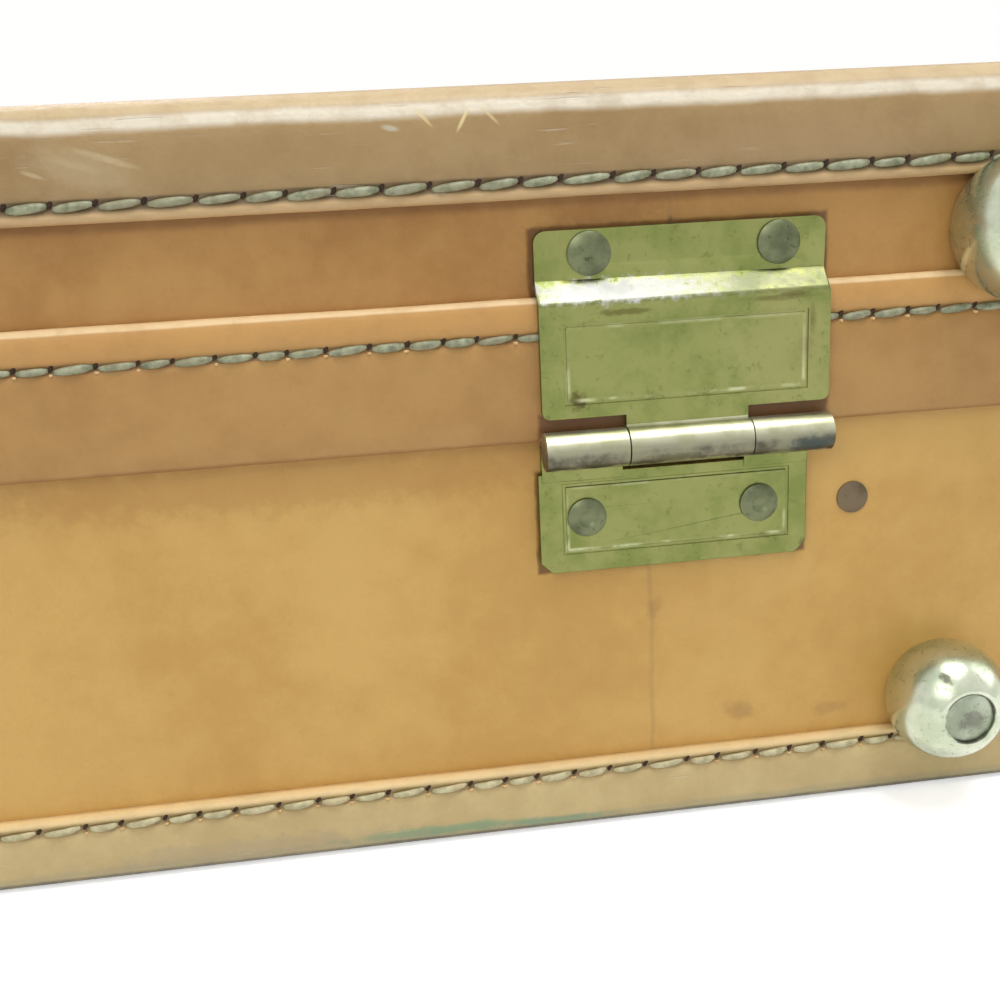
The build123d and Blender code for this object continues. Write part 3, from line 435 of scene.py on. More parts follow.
colour = blend_colour(tree, spread(tree, fade, 0.4, 0.7, 0.0, 0.18), colour, shade(138, 106, 70))
coat(tree, shader, colour, 0.9, weave, 0.1 * mm)
shader.inputs["Sheen Weight"].default_value = 0.25
shader.inputs["Sheen Roughness"].default_value = 0.5
for name in ("base_lining_walls", "base_lining_floor", "lid_lining_walls", "lid_lining_top",
             "document_pocket_panel", "document_pocket_gusset"):
    dress(name, paint)

# Wall leather of the base: one light tan band, butted together in a faint seam behind the left
# hinge, with two grey smudges under the hinge and a band of painted shade along its top, under the valance.
base_tan = hide(
    "base_tan_hide", (215, 173, 99), (191, 144, 70), 26.0, 0.6, 0.5,
    marks=(
        (-144.3, 14.4, 3.0, 1.6, 0.35, 0.5, (150, 116, 70), 0.4),
        (-157.6, 13.4, 3.2, 1.2, -0.1, 0.6, (150, 116, 70), 0.3),
        (-131.8, 31.0, 1.2, 2.2, 0.3, 0.6, (160, 122, 68), 0.4),
        # Painted shade along the top of the wall, under the valance.
        (-86.0, 53.0, 60, 5, 0.0, 0.5, (178, 128, 66), 0.4),
    ),
    fittings=[darkened_round(side * 134.75, 18.25, 37.8, 51.4) for side in (-1, 1)],
    seam_x=-131.5 * mm,
)
dress("base_wall_leather", base_tan)
dress("base_bottom_leather", base_tan)

# Wall leather and top of the lid: the same hide, darkened more by light and handling, with
# painted shade just under the binding.
lid_tan = hide("lid_tan_hide", (186, 140, 78), (158, 110, 52), 30.0, 0.8, 0.48,
               marks=((-134.9, 83.0, 0.5, 1.0, 0.0, 0.4, (96, 58, 34), 0.6),
                      # Painted shade just under the binding.
                      (-126.0, 84.6, 9, 2.2, 0.0, 0.6, (140, 92, 40), 0.45)),
               face=(165.0, 5),
               # Painted shade along the binding's lower edge.
               levels=((85.6, 87.6, 0.6, (120, 78, 40), 0.55),),
               fittings=[darkened_round(side * 136.0, 19.2, 59.2, 82.7, 0.7) for side in (-1, 1)],
               seam_x=-135.0 * mm)
dress("lid_wall_leather", lid_tan)
top_tan = hide("top_tan_hide", (196, 152, 96), (168, 122, 70), 14.0, 0.7, 0.52, scratched=0.3)
dress("lid_top_leather", top_tan)


# Bindings and valance: strips of hide sewn right round the walls. Their outline over the wall
# leather has a straight back, front and ends, and four round corners.
back_length, end_length = 2 * (half_length - corner), 2 * (half_width - corner)
turn_length = math.pi * corner / 2
outline_length = 2 * back_length + 4 * turn_length + 2 * end_length


def outline_at(distance):
    """Point, outward direction and direction of travel on the outline, from the back's right end."""
    distance %= outline_length
    for index, out in enumerate((Vector((0, 1)), Vector((-1, 0)), Vector((0, -1)), Vector((1, 0)))):
        straight = (back_length, end_length)[index % 2]
        ahead = Vector((-out.y, out.x))
        start = Vector((out.x * half_length - ahead.x * (half_length - corner),
                        out.y * half_width - ahead.y * (half_width - corner)))
        if distance <= straight:
            return start + ahead * distance, out, ahead
        distance -= straight
        if distance <= turn_length or index == 3:
            angle = distance / corner
            bent = out * math.cos(angle) + ahead * math.sin(angle)
            return start + ahead * straight - out * corner + bent * corner, bent, Vector((-bent.y, bent.x))
        distance -= turn_length


def new_piece(name):
    """An empty mesh object in the scene."""
    piece = bpy.data.objects.new(name, bpy.data.meshes.new(name))
    scene.collection.objects.link(piece)
    return piece


def run_loop(piece, rows, step):
    """Surface of a band: the outline is drawn once and extruded from row to row of the section."""
    count = int(outline_length / step)
    points = [outline_at(outline_length * index / count) for index in range(count)]
    shape = bmesh.new()
    rings = [[shape.verts.new((*(point + facing * out), height)) for point, facing, _ in points]
             for out, height in rows]
    for here, there in zip(rings, rings[1:] + rings[:1]):
        for index in range(count):
            after = (index + 1) % count
            shape.faces.new((here[index], here[after], there[after], there[index]))
    bmesh.ops.recalc_face_normals(shape, faces=shape.faces)
    shape.to_mesh(piece.data)
    shape.free()
    return count


def hand_cut(distance, seed, size):
    """Slow wander of an edge that was cut by hand."""
    around = distance / outline_length * math.tau
    circle = Vector((math.cos(around) * 5.3, math.sin(around) * 5.3, seed))
    return size * (noise.noise(circle) + 0.5 * noise.noise(circle * 3.1))


def stitch_places(pitch, seed):
    """Distances of the stitch holes along the outline, unevenly spaced as by hand."""
    count = round(outline_length / pitch)
    draw = random.Random(seed)
    return [(index + draw.uniform(-0.11, 0.11)) * outline_length / count for index in range(count)]


def leather_band(name, section, holes, row_height, flange_row, wander, seed, paint, body, replaced):
    """A sewn band of hide. section is (out, height) in millimetres. The hide is drawn in along its rows of
    stitches: at a height on the wall and, on a binding's flange, at a distance out."""
    step, groove_half, dip_half = 1.0 * mm, 0.8 * mm, 0.9 * mm
    groove_depth, dip_depth, wall_wander = 0.34 * mm, 0.3 * mm, 0.12 * mm
    section = [(out * mm, height * mm) for out, height in section]
    piece = new_piece(name)
    data = piece.data
    count = run_loop(piece, section, step)
    distances = [outline_length * index / count for index in range(count)]
    nearest = [min(abs(distance - hole % outline_length) for hole in holes) for distance in distances]
    inwards = 1 if flange_row and section[-3][1] > section[0][1] else -1
    for row, (out, height) in enumerate(section):
        on_wall_face = out > 0.8 * mm
        across = height - row_height if on_wall_face else out - (flange_row or 0.0)
        outer_flange = flange_row and not on_wall_face and row < len(section) - 5
        groove = math.exp(-((across / groove_half) ** 2))
        for index, distance in enumerate(distances):
            vertex = data.vertices[row * count + index]
            _, facing, _ = outline_at(distance)
            dip = math.exp(-((nearest[index] / dip_half) ** 2)) * groove
            sink = groove_depth * groove + dip_depth * dip
            if on_wall_face:
                inset = sink - hand_cut(distance * 2.0, seed + 9, wall_wander)
                vertex.co.x -= facing.x * inset
                vertex.co.y -= facing.y * inset
            elif outer_flange:
                vertex.co.z -= inwards * sink
            vertex.co.z += wander(height) * hand_cut(distance, seed, 1.0)
    data.materials.append(paint)
    data.shade_smooth()
    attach(piece, body)
    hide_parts(replaced)


# Thread: thick waxed linen, grey green, in fat slanting stitches that nearly touch and dive into awl
# holes, shown as dark lenses of painted shade. One stitch and one hole are modelled and copied along
# each row.
def waxed_thread(name, light, dark, dusty):
    """Finish of a row of thread, its colours as displayed."""
    paint, tree, shader, where = start_material(name)
    dirt = clouds(tree, where, 700.0, 4.0, 0.6)
    fade = clouds(tree, where, 120.0, 2.0)
    ply = add(tree, "TexWave", {"Vector": where, "Scale": 700.0, "Distortion": 2.0, "Detail": 1.0},
              bands_direction="DIAGONAL").outputs["Fac"]
    colour = blend_colour(tree, spread(tree, dirt, 0.35, 0.7), shade(*light), shade(*dark))
    colour = blend_colour(tree, spread(tree, fade, 0.5, 0.66, 0.0, 0.6), colour, shade(*dusty))
    coat(tree, shader, colour, 0.42, ply, 0.05 * mm, 0.5)
    return paint


def awl_mark_finish(name, light, dark, roughness):
    """Plain finish for the awl marks: the holes' painted shade and the pale raised hide under them."""
    paint, tree, shader, where = start_material(name)
    colour = blend_colour(tree, clouds(tree, where, 900.0, 2.0), shade(*light), shade(*dark))
    coat(tree, shader, colour, roughness)
    return paint


grey_thread = waxed_thread("grey_thread", (166, 168, 138), (112, 116, 88), (146, 140, 110))
pale_thread = waxed_thread("pale_thread", (208, 200, 160), (166, 158, 120), (200, 182, 140))
# The holes are painted shade; the raised hide under them is painted pale as a highlight.
hole_shade_paint = awl_mark_finish("awl_hole_painted_shade", (30, 22, 16), (70, 46, 28), 0.9)
burr_highlight_paint = awl_mark_finish("raised_hide_painted_highlight", (238, 206, 152), (206, 164, 106), 0.7)


def edit_whole():
    """Open the active piece for editing, with all of it selected."""
    bpy.ops.object.mode_set(mode="EDIT")
    bpy.ops.mesh.select_all(action="SELECT")


bpy.ops.object.select_all(action="DESELECT")
bpy.ops.mesh.primitive_uv_sphere_add(segments=8, ring_count=6, radius=0.5, location=(0, 0, 0))
model_stitch = bpy.context.object
edit_whole()
bpy.ops.transform.rotate(value=math.pi / 2, orient_axis="Y", center_override=(0, 0, 0))
bpy.ops.object.mode_set(mode="OBJECT")
for vertex in model_stitch.data.vertices:
    along = min(1.0, abs(vertex.co.x) * 2)
    was = math.hypot(vertex.co.y, vertex.co.z) * 2
    if was > 0.001:
        fuller = (1 - along**2.6) ** 0.42 / was
        vertex.co.y *= fuller
        vertex.co.z *= fuller
stitch_shape = [vertex.co.copy() for vertex in model_stitch.data.vertices]
stitch_faces = [tuple(polygon.vertices) for polygon in model_stitch.data.polygons]
bpy.data.objects.remove(model_stitch)


def plain_piece(name, points, faces, paint, body):
    """A smooth piece from points and faces, on its body."""
    piece = new_piece(name)
    piece.data.from_pydata(points, [], faces)
    piece.data.update()
    piece.data.shade_smooth()
    piece.data.materials.append(paint)
    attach(piece, body)


def add_copy(points, faces, places):
    """Add one copy of the stitch's shape with its points at these places."""
    first = len(points)
    points.extend(places)
    faces.extend(tuple(first + corner_index for corner_index in face) for face in stitch_faces)


def lay_stitch(points, faces, middle, lie, rise, out, long, wide, sunk=0.6):
    """One bowed stitch that lies along a direction on a surface, sunk at its ends."""
    places = []
    for spot in stitch_shape:
        bow = 1 - (2 * spot.x) ** 2
        place = middle + lie * spot.x * long + rise * spot.y * wide
        places.append(place + out * (spot.z * wide * 0.9 + (bow - sunk) * 0.5 * mm))
    add_copy(points, faces, places)


def turned_by(angle, along, up):
    """Two directions on a surface, turned by an angle."""
    return along * math.cos(angle) + up * math.sin(angle), up * math.cos(angle) - along * math.sin(angle)


def sew(name, holes, surface, slant, width, seed, body, paint, tight=0.96, burrs=False):
    """Stitches from hole to hole, with a dark lens of painted shade over each hole. surface gives (point,
    along, up, out) at a distance on the outline. burrs puts a crumb of raised hide under each hole, painted
    pale as a highlight."""
    draw = random.Random(seed)
    points, faces, dark_points, dark_faces, pale_points, pale_faces = [], [], [], [], [], []
    for index, hole in enumerate(holes):
        span = (holes[(index + 1) % len(holes)] - hole) % outline_length
        point, along, up, out = surface(hole + span / 2)
        lie, rise = turned_by(slant + draw.uniform(-0.04, 0.04), along, up)
        long = span * tight * draw.uniform(0.97, 1.03)
        wide = width * draw.uniform(0.9, 1.1)
        lay_stitch(points, faces, point, lie, rise, out, long, wide, 0.55)
        # A dark lens over the hole: painted shade.
        point, along, up, out = surface(hole)
        lie, rise = turned_by(slant + 0.9, along, up)
        places = []
        for spot in stitch_shape:
            place = point + up * 0.3 * width + lie * spot.x * width * draw.uniform(0.95, 1.1)
            places.append(place + rise * spot.y * width * 0.55 + out * (spot.z * 0.5 - 0.22) * mm)
        add_copy(dark_points, dark_faces, places)
        # Crumb of raised hide, painted pale as a highlight.
        if burrs and draw.random() < 0.7:
            below = point - up * draw.uniform(0.5, 0.6) * width + along * draw.uniform(-0.2, 0.2) * mm
            long = draw.uniform(0.6, 0.9) * mm
            lay_stitch(pale_points, pale_faces, below, along, up, out, long, 0.4 * mm, 0.8)
    plain_piece(name + "_holes", dark_points, dark_faces, hole_shade_paint, body)
    if burrs:
        plain_piece(name + "_burrs", pale_points, pale_faces, burr_highlight_paint, body)
    plain_piece(name, points, faces, paint, body)


def on_wall(height, proud, wander_seed=0.0, wander_size=0.0):
    """Surface for a row of stitches that runs round a wall."""
    def place(distance):
        point, facing, ahead = outline_at(distance)
        spot = (point + facing * proud).to_3d()
        spot.z = height + hand_cut(distance, wander_seed, wander_size)
        return spot, ahead.to_3d(), Vector((0, 0, 1)), facing.to_3d()
    return place


def on_panel(inset, height, upward):
    """Surface for a row of stitches that runs round the top or the underside."""
    def place(distance):
        point, facing, ahead = outline_at(distance)
        spot = (point - facing * inset).to_3d()
        spot.z = height
        return spot, ahead.to_3d(), facing.to_3d(), Vector((0, 0, upward))
    return place


# Base binding: a strip of paler hide folded round the bottom edge, 10 mm up the wall and 8 mm under,
# sewn just below its upper edge, which is painted pale as a highlight. It is grey with dirt low down,
# with a painted shadow where it meets the floor and painted shade in the groove of its stitches, and it
# is stained green beside the hinge.
base_binding_hide = hide(
    "base_binding_hide", (215, 193, 141), (193, 168, 117), 20.0, 0.85, 0.48,
    marks=(
        (-100.0, 2.2, 16, 1.0, 0.0, 0.5, (128, 164, 128), 0.75),
        (-117.0, 1.7, 9, 0.8, 0.0, 0.5, (116, 160, 132), 0.65),
        (-160.3, 8.4, 4.2, 2.2, 0.5, 0.4, (216, 192, 140), 0.7),
        (-75.0, 2.5, 26, 2.2, 0.0, 0.6, (176, 160, 130), 0.5),
    ),
    face=(167.0, 6),
    # Levels: a painted highlight on the upper edge, a painted shadow along the floor, painted shade in the
    # stitch groove, and grey dirt low down.
    levels=((9.35, 10.6, 0.2, (238, 208, 154), 0.8), (-0.5, 1.15, 0.3, (84, 80, 66), 0.9),
            (7.75, 9.1, 0.25, (134, 104, 66), 0.5),
            (0.9, 2.2, 0.5, (168, 164, 134), 0.45)),
    relief=0.00016, scratched=0.15)
edge_wander = 0.16 * mm
base_section = [
    (0.02, 9.95), (1.0, 10.0), (1.6, 9.9), (1.95, 9.6), (2.02, 9.3), (2.02, 9.0), (2.0, 8.7), (2.0, 8.4),
    (2.0, 8.1), (2.0, 7.8), (2.02, 7.3), (2.04, 6.6), (2.05, 5.2), (2.02, 3.8), (1.98, 2.6), (1.8, 1.6),
    (1.35, 0.75), (0.7, 0.22), (-0.2, 0.02), (-2.6, 0.0), (-4.4, 0.0), (-5.0, 0.0), (-5.4, 0.0),
    (-5.8, 0.0), (-6.4, 0.0), (-7.6, 0.0), (-8.0, 0.3), (-8.0, 1.95), (-4.0, 1.98), (-0.02, 1.98),
    (-0.02, 6.0)]
base_holes = stitch_places(5.15 * mm, 11)
base_row, underside_row = 8.4 * mm, -5.4 * mm
leather_band("base_binding_hide", base_section, base_holes, base_row, underside_row,
             lambda height: edge_wander if height > 7.0 * mm else 0.0, 3.0, base_binding_hide,
             "base", "base_binding")


# Lid binding: the same strip round the top edge, dulled and scratched, with a soft round edge that is
# worn pale and painted with a highlight, and painted shade in the groove of its stitches. Its stitches
# are the coarsest on the case.
lid_binding_hide = hide(
    "lid_binding_hide", (174, 145, 100), (150, 120, 76), 16.0, 0.85, 0.42,
    marks=(
        (-67.0, 94.0, 4.4, 0.5, 0.33, 0.15, (212, 194, 156), 0.5),
        (-63.6, 93.4, 3.4, 0.6, 0.3, 0.2, (206, 186, 148), 0.35),
        (-58.5, 92.6, 1.6, 0.35, 0.35, 0.1, (214, 196, 158), 0.45),
        (-64.0, 93.0, 8, 2.6, 0.3, 0.5, (186, 164, 126), 0.5),
        (-100.2, 95.9, 1.3, 0.45, 0.2, 0.2, (212, 206, 186), 0.6),
        (-104.2, 97.0, 1.9, 0.28, 0.85, 0.1, (226, 206, 150), 0.7),
        (-108.9, 96.4, 1.7, 0.3, -1.05, 0.1, (236, 214, 156), 0.85),
        (-112.3, 96.8, 1.8, 0.25, 0.8, 0.1, (226, 204, 150), 0.6),
        (-87.0, 94.0, 20, 3.0, 0.0, 0.6, (164, 132, 84), 0.5),
        (-150.0, 92.0, 24, 4.0, 0.0, 0.6, (172, 142, 102), 0.5),
    ),
    face=(167.0, 6),
    # Levels: a paler lower edge, painted shade in the stitch groove, and a round top edge worn pale and
    # painted with a highlight.
    levels=((85.0, 87.85, 0.2, (216, 182, 134), 0.75), (88.1, 89.6, 0.2, (70, 54, 36), 0.7),
            (97.1, 98.7, 0.55, (242, 234, 214), 0.75), (98.9, 100.35, 0.3, (222, 198, 156), 0.6)),
    relief=0.00016, scratched=0.45)
lid_section = [
    (0.02, 86.75), (0.9, 86.7), (1.6, 86.85), (1.98, 87.2), (2.06, 87.6), (2.05, 88.0), (2.0, 88.4),
    (2.0, 88.8), (2.0, 89.2), (2.0, 89.6), (2.03, 90.2), (2.05, 91.4), (2.05, 93.0), (2.03, 95.0),
    (1.95, 96.4), (1.7, 97.3), (1.25, 98.2), (0.6, 99.05), (-0.2, 99.7), (-1.2, 100.2), (-2.4, 100.45),
    (-3.6, 100.5), (-4.4, 100.5), (-5.0, 100.5), (-5.6, 100.5), (-6.4, 100.5), (-7.4, 100.5), (-8.0, 100.2),
    (-8.0, 98.55), (-4.0, 98.52), (-0.9, 98.52), (-0.02, 97.6), (-0.02, 93.0)]
lid_holes = stitch_places(5.6 * mm, 12)
lid_row, top_row = 88.8 * mm, -5.0 * mm
leather_band("lid_binding_hide", lid_section, lid_holes, lid_row, top_row,
             lambda height: edge_wander if height < 90.5 * mm else 0.0, 5.0, lid_binding_hide,
             "lid", "lid_binding")


# Valance: a broad band of hide sewn round the lid's lower edge, with a bevelled top edge painted pale as a
# highlight, a paler band of painted light above its stitches and painted shade in their groove. It is
# darker along its lower lip, and painted shade darkens it behind each hinge barrel. Its free lip hangs
# over the base wall and casts a shadow on it.
valance_hide = hide(
    "valance_hide", (184, 142, 83), (160, 114, 60), 24.0, 0.7, 0.48,
    # Levels: paler painted light above the stitches, a painted highlight on the top edge, darker along the
    # lower lip, and painted shade in the stitch groove.
    levels=((70.4, 74.9, 0.5, (208, 158, 92), 0.7), (73.9, 75.0, 0.15, (244, 216, 168), 0.8),
            (55.0, 56.5, 0.3, (150, 100, 54), 0.7), (69.2, 70.3, 0.2, (96, 66, 40), 0.6)),
    # Painted shade behind each hinge barrel, under the lid leaf.
    fittings=[darkened_round(side * 136.0, 19.0, 56.9, 59.3, 0.8) for side in (-1, 1)])
valance_section = [
    (0.36, 56.0), (1.3, 55.98), (2.0, 56.2), (2.2, 56.8), (2.22, 58.5), (2.24, 61.0), (2.24, 64.0),
    (2.22, 67.0), (2.2, 68.4), (2.2, 68.9), (2.2, 69.3), (2.2, 69.7), (2.2, 70.1), (2.2, 70.5), (2.2, 71.0),
    (2.16, 72.0), (2.0, 73.2), (1.7, 74.0), (1.3, 74.4), (0.6, 74.5), (0.02, 74.5), (0.02, 66.0),
    (0.02, 59.3), (0.36, 59.1)]
valance_holes = stitch_places(4.7 * mm, 13)
valance_row = 69.7 * mm
leather_band("valance_band_hide", valance_section, valance_holes, valance_row, None,
             lambda height: 0.25 * mm if height > 72.0 * mm else 0.0, 7.0, valance_hide,
             "lid", "lid_valance")


# Rows of stitches: through the wall face and through the flange of each binding, and along the
# valance. The base's thread is worn pale.
sew("base_binding_stitches", base_holes, on_wall(8.45 * mm, 1.9 * mm, 3.0, edge_wander), 0.09, 1.0 * mm, 21,
    "base", pale_thread, tight=0.86, burrs=True)
sew("base_underside_stitches", base_holes, on_panel(-underside_row, 0.85 * mm, -1), 0.1, 1.0 * mm, 22,
    "base", pale_thread)
sew("lid_binding_stitches", lid_holes, on_wall(lid_row, 1.8 * mm, 5.0, edge_wander), 0.1, 1.12 * mm, 23,
    "lid", grey_thread)
sew("lid_top_stitches", lid_holes, on_panel(-top_row, 99.6 * mm, 1), 0.1, 1.1 * mm, 24, "lid", grey_thread)
sew("valance_stitches", valance_holes, on_wall(valance_row, 1.97 * mm), 0.08, 1.05 * mm, 25,
    "lid", grey_thread, burrs=True)


def crisp_copy(node_name, width, paint, suffix="metal", bends=()):
    """A pressed or machined piece: the node's own shape with its edges rounded over. bends are the
    heights in millimetres at which the sheet is bent, so it is rounded there by more."""
    bend_radius, flat_face = 0.35 * mm, 0.9999
    source = nodes[node_name]
    piece = source.copy()
    piece.data = source.data.copy()
    piece.name = f"{node_name}_{suffix}"
    for key in {"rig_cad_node", "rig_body"} & set(piece.keys()):
        del piece[key]
    piece.parent = None
    scene.collection.objects.link(piece)
    bpy.ops.object.select_all(action="DESELECT")
    piece.select_set(True)
    bpy.context.view_layer.objects.active = piece
    edit_whole()
    bpy.ops.mesh.remove_doubles(threshold=0.002 * mm)
    bpy.ops.mesh.tris_convert_to_quads(face_threshold=0.02, shape_threshold=0.02)
    bpy.ops.mesh.select_all(action="DESELECT")
    bpy.ops.object.mode_set(mode="OBJECT")
    for edge in piece.data.edges:
        heights = [piece.data.vertices[end].co.z / mm for end in edge.vertices]
        edge.select = any(max(abs(height - bend) for height in heights) < 0.01 for bend in bends)
    bpy.ops.object.mode_set(mode="EDIT")
    if bends:
        bpy.ops.mesh.bevel(offset=bend_radius, segments=6, affect="EDGES")
    bpy.ops.object.mode_set(mode="OBJECT")
    rounding = piece.modifiers.new("rounding", "BEVEL")
    rounding.width = width
    rounding.segments = 2
    rounding.limit_method = "ANGLE"
    rounding.angle_limit = math.radians(38)
    rounding.use_clamp_overlap = True
    bpy.ops.object.modifier_apply(modifier=rounding.name)
    bpy.ops.object.shade_smooth_by_angle(angle=math.radians(45))
    shape = bmesh.new()
    shape.from_mesh(piece.data)
    for edge in shape.edges:
        level = {max(abs(part) for part in face.normal) > flat_face for face in edge.link_faces}
        if len(level) == 2:
            edge.smooth = False
    shape.to_mesh(piece.data)
    shape.free()
    evened = piece.modifiers.new("evened", "WEIGHTED_NORMAL")
    evened.mode = "FACE_AREA"
    evened.weight = 90
    evened.keep_sharp = True
    bpy.ops.object.modifier_apply(modifier=evened.name)
    piece.data.materials.clear()
    piece.data.materials.append(paint)
    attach(piece, source["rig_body"])
    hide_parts(node_name)
    return piece


# Tarnish: broad clouds of dulling and small dark spots, for all the metal.
tarnish_group, take, give = new_group(
    "tarnish", [("Vector", "Vector", (0, 0, 0)), ("Clouds", "Float", 150.0), ("Spots", "Float", 900.0)],
    [("Cloud", "Float"), ("Spot", "Float"), ("Grit", "Float")])
tree, spot = tarnish_group, take["Vector"]
link(tree, spread(tree, clouds(tree, spot, take["Clouds"], 5.0, 0.6), 0.4, 0.66), give["Cloud"])
link(tree, spread(tree, clouds(tree, spot, take["Spots"], 4.0, 0.7), 0.58, 0.68), give["Spot"])
link(tree, clouds(tree, spot, 2600.0, 3.0, 0.7), give["Grit"])


def distance_off(tree, across, up):
    """Distance of a spot that is so far across and up."""
    return reckon(tree, "SQRT", reckon(tree, "ADD", times(tree, across, across), times(tree, up, up)))


def metal(name, bright, dull, dark, roughness, marks=(), barrel=None, rings=(), frames=(), spots=0.3):
    """Polished metal gone dull. marks are (x, y, z, half width, half depth, half height, turn, colour,
    strength). frames are borders (x, z, half width, half height), painted pale as highlights, and rings are
    grooves (x, z), painted dark with grime and shade, alike at both ends of the case, all in millimetres.
    barrel is a rolled joint's (y, z, worn colour, colour of dirt and painted shade on its lower side), in
    metres."""
    paint, tree, shader, where = start_material(name)
    bright, dull, dark = shade(*bright), shade(*dull), shade(*dark)
    if barrel or frames or rings:
        parts = add(tree, "SeparateXYZ", {0: where}).outputs
    stain = use_group(tree, tarnish_group, {"Vector": where})
    scores = use_group(tree, scratch_group, {"Vector": where, "Fineness": 2600.0, "Bare": 0.66})["Mask"]
    colour = blend_colour(tree, stain["Cloud"], bright, dull)
    colour = blend_colour(tree, times(tree, stain["Spot"], spots), colour, dark)
    colour = blend_colour(tree, times(tree, scores, 0.2), colour, bright)
    rough = times_plus(tree, stain["Cloud"], 0.08, roughness)
    rough = times_plus(tree, stain["Spot"], 0.1, rough)
    if barrel:
        middle_y, middle_z, worn_tint, dirt_and_shade_tint = barrel
        off_z = minus(tree, parts["Z"], middle_z)
        reach = distance_off(tree, minus(tree, parts["Y"], middle_y), off_z)
        on_barrel = reckon(tree, "LESS_THAN", reach, 2.8 * mm)
        patchy = clouds(tree, where, 210.0, 5.0, 0.62)
        worn = times(tree, on_barrel, spread(tree, patchy, 0.35, 0.6, 0.6, 1.0))
        colour = blend_colour(tree, worn, colour, shade(*worn_tint))
        # The lower side of the barrel is darkened in patches, dirt and painted shade, thinning out at its
        # very bottom edge.
        low_side = spread(tree, off_z, -0.5 * mm, 1.3 * mm, 1.0, 0.0)
        bottom_edge_clear = spread(tree, times_plus(tree, patchy, 2.2 * mm, off_z), -1.1 * mm, -0.7 * mm)
        gritty = spread(tree, patchy, 0.36, 0.6, 0.6, 1.0)
        dirt_and_shade = times(tree, times(tree, on_barrel, low_side), gritty)
        dirt_and_shade = times(tree, dirt_and_shade, spread(tree, bottom_edge_clear, 0.0, 1.0, 0.1, 1.0))
        colour = blend_colour(tree, times(tree, dirt_and_shade, 0.92), colour, shade(*dirt_and_shade_tint))
    for *spot, turn, tint, strength in marks:
        spot = times(tree, ragged_patch(tree, where, spot[:3], spot[3:], turn, 0.7, 900.0), strength)
        colour = blend_colour(tree, spot, colour, shade(*tint))
        rough = times_plus(tree, spot, 0.2, rough)
    # Pale lines along the engraved borders, strongest at their lower edge: painted highlights.
    for middle_x, middle_z, half_x, half_z in frames:
        beside = minus(tree, apart(tree, parts["X"]), middle_x * mm)
        beside = minus(tree, apart(tree, beside), half_x * mm)
        above = apart(tree, parts["Z"], middle_z * mm)
        above = minus(tree, above, half_z * mm)
        edge = apart(tree, reckon(tree, "MAXIMUM", beside, above))
        broken = clouds(tree, where, 300.0, 4.0)
        low_edge = spread(tree, parts["Z"], middle_z * mm, (middle_z - half_z) * mm, 0.35, 0.8)
        frame_highlight = times(tree, spread(tree, edge, 0.06 * mm, 0.42 * mm, 1.0, 0.0),
                       times(tree, low_edge, spread(tree, broken, 0.44, 0.62, 0.05, 0.9)))
        colour = blend_colour(tree, frame_highlight, colour, shade(196, 196, 156))
    # Dark line in the groove round each foot's rivet head: grime and painted shade.
    for ring_x, ring_z in rings:
        beside = minus(tree, apart(tree, parts["X"]), ring_x * mm)
        reach = distance_off(tree, beside, minus(tree, parts["Z"], ring_z * mm))
        off_ring = apart(tree, reach, 3.58 * mm)
        broken = clouds(tree, where, 350.0, 3.0)
        grime_and_shade = times(tree, spread(tree, off_ring, 0.05 * mm, 0.2 * mm, 1.0, 0.0),
                      spread(tree, broken, 0.38, 0.58, 0.1, 0.8))
        colour = blend_colour(tree, grime_and_shade, colour, shade(46, 42, 34))
        rough = times_plus(tree, grime_and_shade, 0.4, rough)
    relief = times_plus(tree, stain["Grit"], 0.2, times(tree, stain["Cloud"], 0.2))
    coat(tree, shader, colour, rough, relief, 0.05 * mm, 0.35)
    shader.inputs["Metallic"].default_value = 0.9
    return paint


